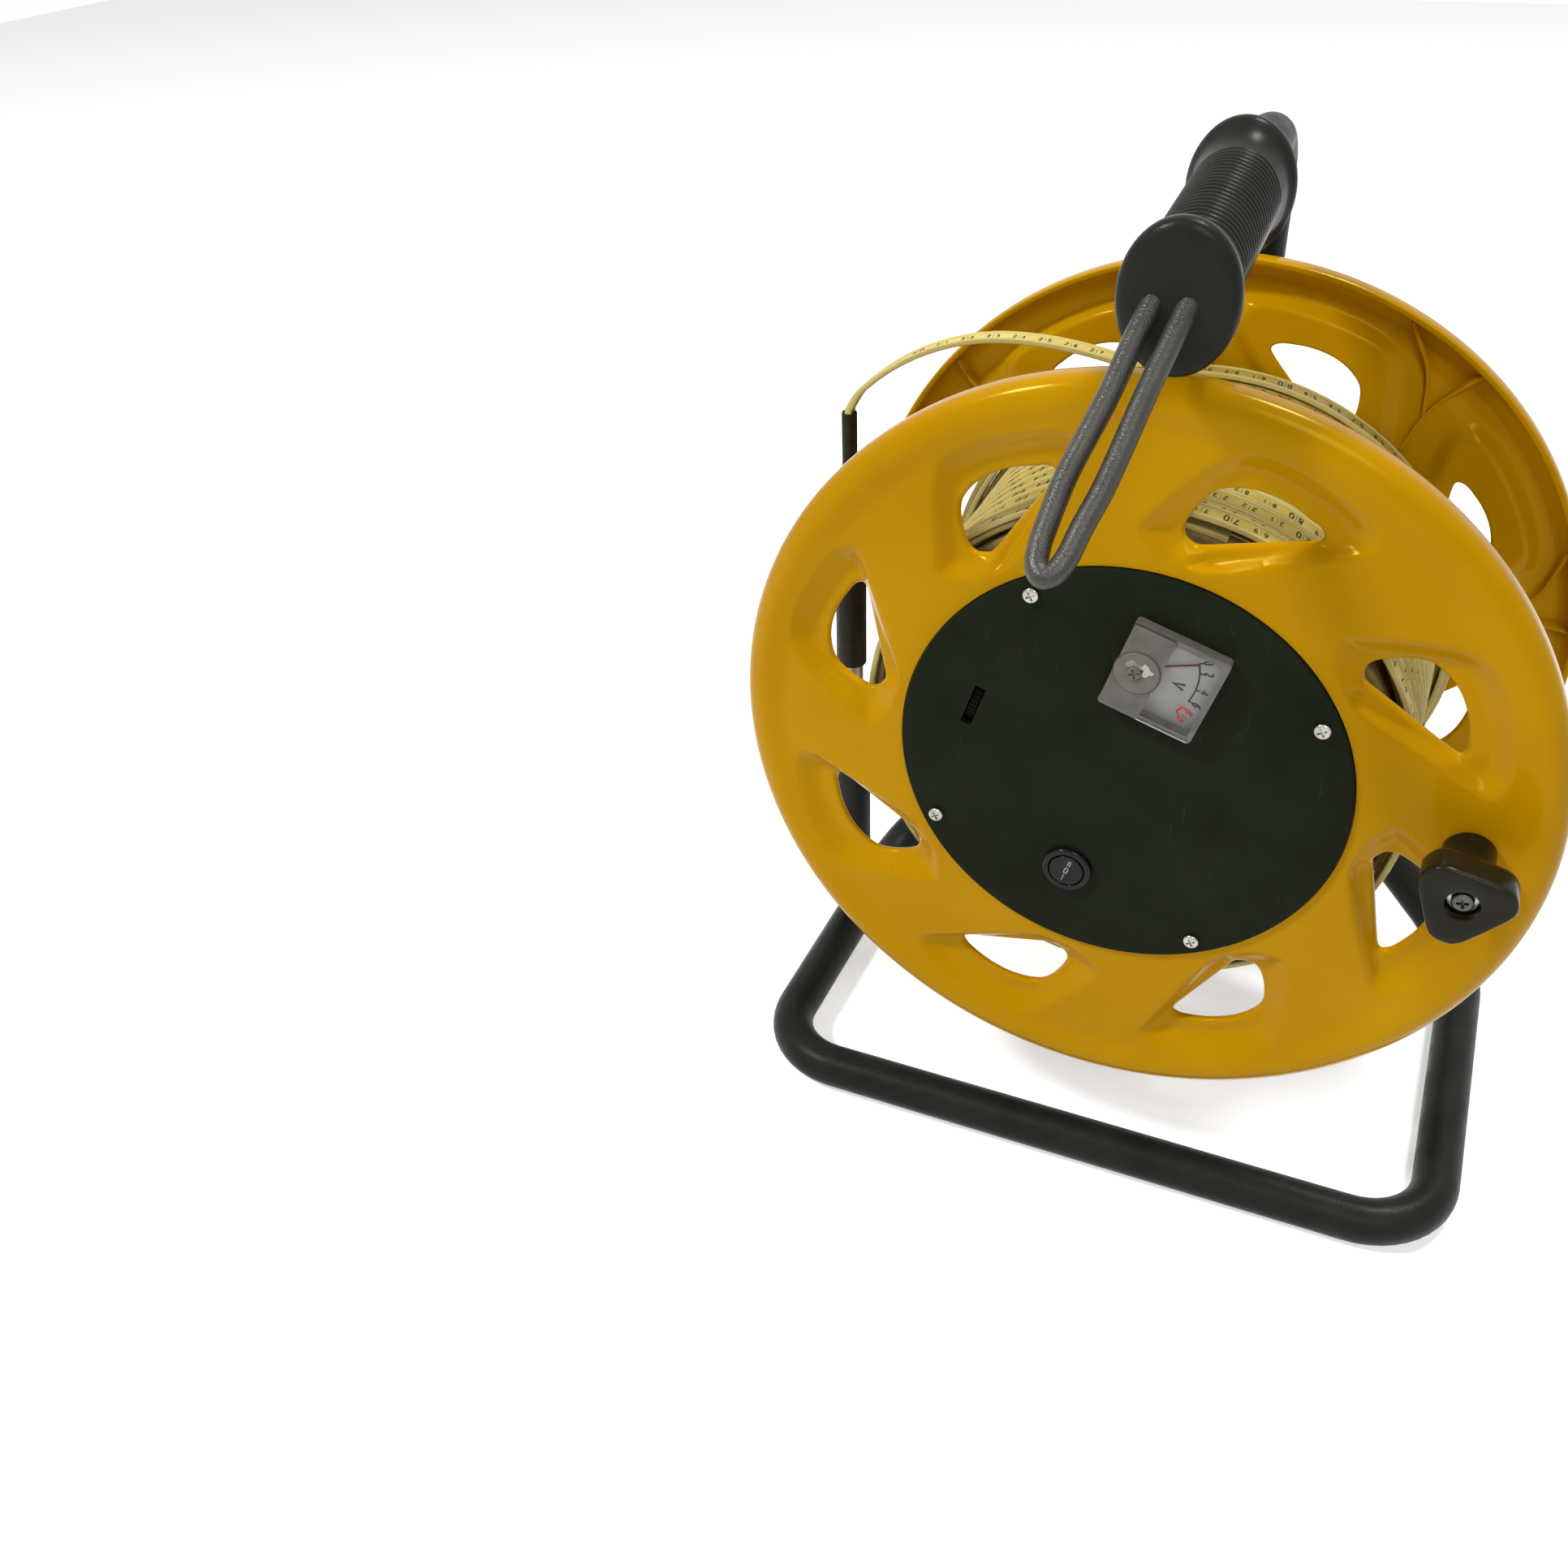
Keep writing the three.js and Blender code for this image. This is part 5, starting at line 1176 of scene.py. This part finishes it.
TICKS = [31.6, 21, 3.4, -10.6, -19.7, -27.7]
RED_FROM = 4
TICK_HALF = 0.8
FIGURE_R = 23.4
bands = [dial_band("dial_arc", 31.6, -12, 20.0, 20.6, ink),
         dial_band("dial_arc_end", -19.7, -27.7, 19.8, 20.8, ink_red, 8)]
bands += [dial_band(f"dial_tick_{i}", t + TICK_HALF, t - TICK_HALF, 20.3, 21.9,
                    ink_red if i >= RED_FROM else ink, 1) for i, t in enumerate(TICKS)]
dial_face = joined("dial_lines", bands, 30)
figures = [(value + BOLD, on_dial(FIGURE_R, t), along_dial(t), TO_FRONT, 2.5, 1)
           for value, t in zip((0, 2, 4, 6, 8), TICKS)]
red_figures = [figures.pop()]
figures.append((LETTER_V + BOLD, on_dial(14.8, 0), PANEL_RIGHT, TO_FRONT, 3.8, 1))
last_way = along_dial(TICKS[-1])
for value, side in ((1, -0.8), (0, 0.8)):
    at = on_dial(FIGURE_R, TICKS[-1]) + last_way * side
    red_figures.append((value + BOLD, at, last_way, TO_FRONT, 2.3, 0.9))
dial_figures = printed("dial_figures", figures, ink)
dial_red = printed("dial_red_figures", red_figures, ink_red)
dial = joined("meter_dial", [dial, dial_face, dial_figures, dial_red], 30)
needle_points = [on_dial(r, TICKS[0] + w, y) for y in (-74.6, -75.0)
                 for r, w in ((-4, 4), (-4, -4), (20.6, -0.7), (20.6, 0.7))]
needle = mend(add_mesh("needle", needle_points, BOX_FACES, ink_red))
needle_hub = lathe("needle_hub", [(0, -74.6), (1.8, -74.6), (1.8, -74.9), (1.5, -75.1), (0, -75.1)], 32,
                   ink_red, centre=panel_point(*pivot, 0))
pointer = joined("meter_pointer", [needle, needle_hub], 30)
zero_profile = [(0, FRONT - 1.8)] + front_arc(1.6, 79.6, 0.8, 0.6, 90, 0, 5)
zero_profile += [(2.4, FRONT - 0.9), (1.5, FRONT - 0.9), (1.5, FRONT + 1.5), (0, FRONT + 1.5)]
zero = crossed_screw("meter_zero_screw", zero_profile, panel_point(*pivot, 0), FRONT - 1.8, 3.6, 0.6, 0.3,
                     frosted)

# Switch
bezel = [(0, -56), (0, -66), (6.8, -66), (6.8, -74.6)] + front_arc(7.3, 74.5, 0.5, 0.5, 180, 90, 4)
bezel += front_arc(8.3, 74, 0.95, 1.0, 90, 0, 6) + [(9.25, -73), (7.5, -73), (7.5, -56)]
switch_body = lathe("switch_body", bezel, 64, gloss, centre=panel_point(*SWITCH, 0), smooth=35)
rocker_profile = [(0, -72.1), (6, -72.1), (6.35, -72.5), (6.35, -74.6)]
rocker_profile += front_arc(5.95, 74.7, 0.4, 0.4, 0, 90, 4) + [(4, -74.75), (2, -74.5), (0, -74.4)]
rocker = lathe("rocker_cap", rocker_profile, 64, gloss, centre=panel_point(*SWITCH, 0), smooth=50)
rocker_marks = printed("rocker_marks", [
    (mark, panel_point(SWITCH[0] + right, SWITCH[1], -74.98), PANEL_UP, TO_FRONT, high, wide)
    for mark, right, high, wide in ((0, 0, 2.6, 1.1), (TICK, 3.4, 2.4, 1.3), (DOUBLE_BAR, -3.4, 2.6, 0.9))],
    ink_pale)
rocker = joined("switch_rocker", [rocker, rocker_marks], 50)

# Sensitivity wheel
TEETH = 36
wheel_mid = panel_point(*SLOT, -61.4)
wheel = lathe("wheel_core", [(0, -1.3), (10.2, -1.5), (10.4, -1.3), (10.4, 1.3), (10.2, 1.5), (0, 1.3)], 72,
              dark_rubber, centre=wheel_mid, axis=PANEL_UP, smooth=30)
tooth_points, tooth_faces = [], []
for k in range(TEETH):
    a = 2 * math.pi * k / TEETH
    out = np.array([0, 1, 0]) * math.cos(a) + PANEL_RIGHT * math.sin(a)
    along = np.cross(out, PANEL_UP)
    tooth_faces += [tuple(i + len(tooth_points) for i in q) for q in BOX_FACES]
    tooth_points += [wheel_mid + out * r + along * w + PANEL_UP * h for h in (-1.5, 1.5)
                     for r, w in ((10.2, -.55), (10.2, .55), (10.98, .3), (10.98, -.3))]
teeth = mend(add_mesh("wheel_teeth", tooth_points, tooth_faces, dark_rubber))
wheel = joined("sensitivity_wheel", [wheel, teeth], 30)

# Crank
CRANK = (117 * math.cos(math.radians(-1.3)), 0, HUB_Z + 117 * math.sin(math.radians(-1.3)))
STAR_OUT_R, STAR_FLAT_R, STAR_CORNER = 16.2, 11.9, 14.0
STAR_SIDES = 100


def star_radius(a):
    """Three broad lobes with flat sides between them."""
    third = 2 * math.pi / 3
    off_flat = np.abs((a - math.radians(18)) % third - third / 2)
    lobe, flat = STAR_OUT_R, STAR_FLAT_R / np.cos(off_flat)
    return (lobe ** -STAR_CORNER + flat ** -STAR_CORNER) ** (-1 / STAR_CORNER)


def crank_ring(r, y, a):
    return np.stack([CRANK[0] + r * np.cos(a), np.full(len(a), y), CRANK[2] + r * np.sin(a)], 1)


a = np.linspace(0, 2 * np.pi, STAR_SIDES, endpoint=False)
star_rings = [crank_ring(8.3387, -88, a)]
star_rings += [crank_ring(star_radius(a) * share, y, a) for share, y in (
    (0.86, -88.2), (0.96, -89.2), (1, -91), (1, -99.2), (0.995, -100), (0.97, -100.7), (0.93, -101),
    (0.8, -101))]
star_rings += [crank_ring(r, y, a) for r, y in (
    (5.9, -101), (5.4, -100.7), (5.4, -95.8), (3.35, -95.8), (3.35, -88))]
star_faces = grid_faces(len(star_rings), STAR_SIDES, close_rows=True, close_cols=True)
star = mend(add_mesh("knob_star", np.concatenate(star_rings), star_faces, knob_finish), 40)
neck = lathe("knob_neck", [(3.4, -71.6), (8.2, -71.6), (8.5, -71.9), (8.4, -80), (8.3, -86.6), (9.2, -88.3),
                           (3.4, -88.3)], 64, knob_finish, centre=CRANK, smooth=40)
knob = joined("crank_knob", [star, neck], 40)
washer = lathe("crank_outer_washer", [(3.3, -97.1), (3.3, -96.1), (4.9, -96.1), (4.9, -96.9), (4.7, -97.1)],
               48, bright, centre=CRANK, smooth=30)
bolt_profile = [(0, -99.4)] + front_arc(2.5, 98.6, 1.0, 0.8, 90, 0, 6)
bolt_profile += [(3.5, -97.4), (3, -97.4), (3, -59.4), (2.6, -58.9), (0, -58.9)]
# The bolt's head takes the darker steel, painted shade of its recess.
bolt = crossed_screw("crank_bolt", bolt_profile, CRANK, -99.4, 3.8, 1.2, 0.2, shaded_steel)
inner_washer = lathe("crank_inner_washer", [(3.3, -67.9), (6, -67.9), (6.1, -67.7), (6.1, -66.5), (6, -66.3),
                                            (3.3, -66.3)], 48, bright, centre=CRANK, smooth=30)


NUT_SIDES = 60
NUT_TURN = 0.2


def crank_nut(name, r, y0, y1, hole, finish):
    """A nut: six flats with the corners turned off on both faces."""
    a = np.linspace(0, 2 * np.pi, NUT_SIDES, endpoint=False) + NUT_TURN
    flat = r * math.cos(math.pi / 6) / np.cos((a - NUT_TURN) % (math.pi / 3) - math.pi / 6)
    blunt = np.minimum(flat, r * 0.9)
    rings = [crank_ring(rr, y, a) for rr, y in (
        (hole, y0), (blunt, y0), (flat, y0 + 0.6), (flat, y1 - 0.6), (blunt, y1), (hole, y1))]
    faces = grid_faces(len(rings), NUT_SIDES, close_rows=True, close_cols=True)
    return mend(add_mesh(name, np.concatenate(rings), faces, finish), 30)


nut = crank_nut("crank_nut", 5.77, -66, -61, 3.3, bright)

# Stand: one tube from the split through the feet back to it and on to the handle, and the weld there
SPLIT = np.array([3, 98.8, 163.0])
TOP = np.array([3, 98.8, 373.0])
HANDLE_END = np.array([6.6, -84.5, 363.2])
FEET = [(-138, 98.8, TUBE_R), (-138, -77.3, TUBE_R), (138, -77.3, TUBE_R), (138, 98.8, TUBE_R)]
FOOT_BEND, SPLIT_BEND, TOP_BEND = 30, 20, 28
corners = [SPLIT, *FEET, SPLIT, TOP, HANDLE_END]
tube_line = spaced(rounded(corners, [FOOT_BEND] * 4 + [SPLIT_BEND, TOP_BEND], 12), 14)
tube = sweep("tube", tube_line, ring_section(TUBE_R, 40), paint, smooth=50)
main_axis = spaced(rounded(corners[3:], [FOOT_BEND, SPLIT_BEND, TOP_BEND], 12), 1.5)
leg_way = unit(np.array(FEET[0]) - SPLIT)
back = np.array([0, 1.0, 0])
beside = np.cross(leg_way, back)
BEAD_POINTS = 48
bead = []
for t in np.linspace(0, 2 * np.pi, BEAD_POINTS, endpoint=False):
    out = back * math.cos(t) + beside * math.sin(t)
    for s in np.linspace(0, 40, 161):
        p = SPLIT + leg_way * s + out * TUBE_R
        if np.min(np.linalg.norm(main_axis - p, axis=1)) > TUBE_R + 0.3:
            break
    bead.append(p)
bead = np.array(bead)
bead = (np.roll(bead, 1, 0) + bead + np.roll(bead, -1, 0)) / 3
rng = np.random.default_rng(4)
lumps = 1.7 + 0.35 * np.sin(np.arange(BEAD_POINTS) * 2.1) + rng.uniform(-0.25, 0.25, BEAD_POINTS)
bead_sections = [ring_section(r, 10) for r in lumps]
bead[:, 1] = np.minimum(bead[:, 1], SPLIT[1] + TUBE_R - 2.2)
weld_bead = sweep("weld_bead", bead, bead_sections, paint, closed=True, smooth=60)
frame_tube = joined("frame_tube", [tube, weld_bead], 50)

# Grip
handle = unit(HANDLE_END - TOP)
grip_front = HANDLE_END + handle * 7.5
GRIP_LONG = 110
GRIP_SIDES = 80
grip_across = unit(np.array([1.0, 0, 0]) - handle * handle[0])
grip_up = np.cross(grip_across, -handle)


def oval(name, rows, origin, smooth=45, proud=None):
    """A body of oval sections about the handle's line: rows of (half width, half height, distance behind)."""
    a = np.linspace(0, 2 * np.pi, GRIP_SIDES, endpoint=False)
    pts = []
    for k, (wide, high, behind) in enumerate(rows):
        extra = 0 if proud is None else proud[k] * smooth_step((np.sin(a) + 0.3) / 0.5)
        pts.append(origin - handle * behind + np.outer(np.cos(a) * (wide + extra), grip_across)
                   + np.outer(np.sin(a) * (high + extra), grip_up))
    faces = grid_faces(len(rows), GRIP_SIDES, close_rows=True, close_cols=True)
    return mend(add_mesh(name, np.concatenate(pts), faces, grip_finish), smooth)


def disc_row(inset, behind):
    return 17.9 - inset, 23.2 - inset, behind


grip_rows = [(0, 0, 0), disc_row(12, 0.05), disc_row(6, 0.3), disc_row(3, 0.8), disc_row(1.2, 1.7)]
grip_rows += [disc_row(0.3, 3), disc_row(0, 4.6), disc_row(0.2, 6.6), disc_row(0.9, 8.2), disc_row(2, 9)]
grip_rows += [(15.6, 18.6, 11.4), (15.1, 17.6, 15), (14.8, 17, 20), (14.6, 16.8, 26)]
grip_rows += [(14.6, 16.8, 84), (14.8, 17, 90), (15.1, 17.6, 95), (15.6, 18.6, 99)]
grip_rows += [disc_row(2, 103.2), disc_row(0.8, 104.4), disc_row(0, 106), disc_row(0, 107.6)]
grip_rows += [disc_row(0.6, 109), disc_row(2, GRIP_LONG), (9.3, 9.3, GRIP_LONG), (9.3, 9.3, 5), (0, 0, 5)]
grip_body = oval("grip_body", grip_rows, grip_front)
RIB_PITCH = 3.4
rib_rows = [(14.45, 16.65, y) for y in (-1.4, -1.2, -0.75, 0, 0.75, 1.2, 1.4)]
rib_ring = oval("grip_rib", rib_rows, grip_front - handle * 20, 60, proud=[0, 0.2, 0.62, 0.85, 0.62, 0.2, 0])
grip_ribs = row_tree.run("grip_ribs", rib_ring, Copies=22, Step=tuple(-handle * RIB_PITCH * MM),
                         Finish=grip_finish.m)
grip = joined("handle_grip", [grip_body, grip_ribs], 45)

# Wire loop, bent from one rod
LOOP_TOP = np.array([5, -88.6, 363.4])
LOOP_BOTTOM = np.array([-8.8, -153, 305.4])
LOOP_BENDS = [(-4.6, 0), (-5, 16), (-5.1, 34), (-6, 48), (-6.6, 60), (-6, 74), (-5.2, 82), (-3.6, 87),
              (-1, 89.2), (1.5, 87.4), (3.1, 82), (3.5, 73), (4.5, 61), (4.7, 48), (4.6, 30), (5, 14),
              (5.4, 0)]
loop_line = unit(LOOP_BOTTOM - LOOP_TOP)
loop_side = unit(np.array([1.0, 0, 0]) - loop_line * loop_line[0])
bends = [LOOP_TOP + loop_side * side + loop_line * along for side, along in LOOP_BENDS]
wire_loop = sweep("wire_loop", catmull(bends, 6), ring_section(3.4, 28), paint_grey, smooth=50)

# Probe with its sleeves and holder
def upright(name, profile, sides, finish, smooth=40, wobble=None):
    return lathe(name, profile, sides, finish, centre=(PROBE_X, PROBE_Y, 0), axis=(0, 0, 1), smooth=smooth,
                 wobble=wobble)


holder = upright("probe_holder", [(5.9, 14), (8, 14), (8, 104.4), (7.6, 105.4), (7, 105.9), (6.3, 105.6),
                                  (5.9, 105)], 48, paint)
probe = upright("probe_body", [(0, 18.3), (1.4, 18.5), (2.9, 19.6), (4.2, 21.9), (4.8, 24), (5, 26.5),
                               (5, 150), (5, 199), (4.6, 199.5), (0, 199.5)], 48, steel)
sleeve = upright("probe_sleeve", [(5.3, 154), (6.3, 154), (6.6, 154.6), (6.55, 180), (6.6, 214), (6.5, 218),
                                  (6.1, 221.5), (5.2, 223.8), (4.2, 224.8), (3.6, 225), (3.5, 200),
                                  (5.3, 200)], 48, shrink, 50,
                 wobble=lambda a, r, h: 0.12 * np.sin(3 * a + h * 0.07) if r > 6 else 0 * a)
thin = upright("cable_sleeve", [(0, 203), (3.1, 203), (3.2, 230), (3.15, 250), (3.2, 269.4), (3.0, 270),
                                (2.2, 269.6), (1.8, 266), (0, 266)], 40, shrink, 40,
               wobble=lambda a, r, h: 0.08 * np.sin(2 * a + h * 0.1) if r > 3 else 0 * a)

# Axle, its fixings behind
axle = lathe("axle", [(0, -19), (4.4, -19), (5, -18.4), (5, -6), (6.6, -6), (7, -5.6), (7, 89.5), (0, 89.5)],
             64, steel, smooth=30)

# Floor, pale and lifted to white for the camera, with the object's shadow kept
FLOOR_GLOW = 0.54
bpy.ops.mesh.primitive_plane_add(size=6, location=(0, 0, 0))
floor = bpy.context.object
floor.name = "floor"
pale = bpy.data.materials.new("pale_floor")
pale.use_nodes = True
ft = pale.node_tree
ft.nodes.clear()
diffuse = ft.nodes.new("ShaderNodeBsdfDiffuse")
diffuse.inputs["Color"].default_value = (0.86, 0.86, 0.86, 1)
glow = ft.nodes.new("ShaderNodeEmission")
power = ft.nodes.new("ShaderNodeMath")
power.operation = "MULTIPLY"
power.inputs[1].default_value = FLOOR_GLOW
lit_and_glowing = ft.nodes.new("ShaderNodeAddShader")
floor_out = ft.nodes.new("ShaderNodeOutputMaterial")
ft.links.new(backdrop_rays(ft), power.inputs[0])
ft.links.new(power.outputs[0], glow.inputs["Strength"])
ft.links.new(diffuse.outputs[0], lit_and_glowing.inputs[0])
ft.links.new(glow.outputs[0], lit_and_glowing.inputs[1])
ft.links.new(lit_and_glowing.outputs[0], floor_out.inputs["Surface"])
floor.data.materials.append(pale)

# Finishes of the CAD nodes that stay
for node, finish in {
    "axle_washer": bright, "axle_nut": bright, "reel_hub": panel_finish, "bush_front": brass,
    "bush_rear": brass, "drum_core": core, "meter_case": panel_finish, "circuit_board": board,
    "battery": gloss, "battery_tray": panel_finish, "buzzer": gloss,
}.items():
    o = frame["nodes"][node]
    o.data.materials.clear()
    o.data.materials.append(finish.m)

# Bodies, nodes and slots
for piece, name, body, slot_name, nodes in (
    (frame_tube, "bent_stand_tube", "stand", "black_paint", ["frame_tube"]),
    (grip, "rubber_grip", "stand", "black_rubber", ["handle_grip"]),
    (wire_loop, "coated_wire_loop", "stand", "black_paint", ["wire_loop"]),
    (axle, "turned_axle", "stand", "steel", ["axle"]),
    (holder, "probe_holder_tube", "stand", "black_paint", ["probe_holder"]),
    (probe, "steel_probe", "stand", "steel", ["probe_body"]),
    (sleeve, "probe_shrink_sleeve", "stand", "black_rubber", ["probe_sleeve"]),
    (thin, "cable_shrink_sleeve", "stand", "black_rubber", ["cable_sleeve"]),
    (free_tape, "hanging_tape", "stand", "tape_plastic", ["free_tape"]),
    (free_marks, "hanging_tape_print", "stand", "tape_plastic", []),
    (front_flange, "front_reel_flange", "reel", "yellow_plastic", ["front_flange"]),
    (rear_flange, "rear_reel_flange", "reel", "yellow_plastic", ["rear_flange"]),
    (winding, "wound_tape", "reel", "tape_plastic", ["tape_winding"]),
    (winding_marks, "wound_tape_print", "reel", "tape_plastic", []),
    (inner_tape, "wound_tape_layers", "reel", "tape_plastic", ["inner_tape"]),
    (rear_cover, "rear_hub_cover", "reel", "black_gloss", ["rear_cover"]),
    (panel, "front_instrument_panel", "reel", "black_matte", ["instrument_panel"]),
    (screws, "panel_screws", "reel", "steel",
     ["panel_screw_1", "panel_screw_2", "panel_screw_3", "panel_screw_4"]),
    (meter_cover, "meter_window", "reel", "clear", ["meter_cover"]),
    (dial, "meter_scale", "reel", "white_card", ["meter_dial"]),
    (switch_body, "switch_bezel", "reel", "black_gloss", ["switch_body"]),
    (washer, "knob_washer", "reel", "steel", ["crank_outer_washer"]),
    (bolt, "knob_bolt", "reel", "steel", ["crank_bolt"]),
    (inner_washer, "flange_washer", "reel", "steel", ["crank_inner_washer"]),
    (nut, "knob_nut", "reel", "steel", ["crank_nut"]),
    (knob, "winding_knob", "crank", "black_gloss", ["crank_knob"]),
    (rocker, "rocker_button", "rocker", "black_gloss", ["switch_rocker"]),
    (pointer, "meter_needle", "pointer", "red_paint", ["meter_pointer"]),
    (zero, "needle_zero_screw", "zero_screw", "black_matte", ["meter_zero_screw"]),
    (wheel, "toothed_wheel", "wheel", "black_rubber", ["sensitivity_wheel"]),
):
    piece.name = name
    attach(piece, body)
    if nodes:
        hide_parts(*nodes)
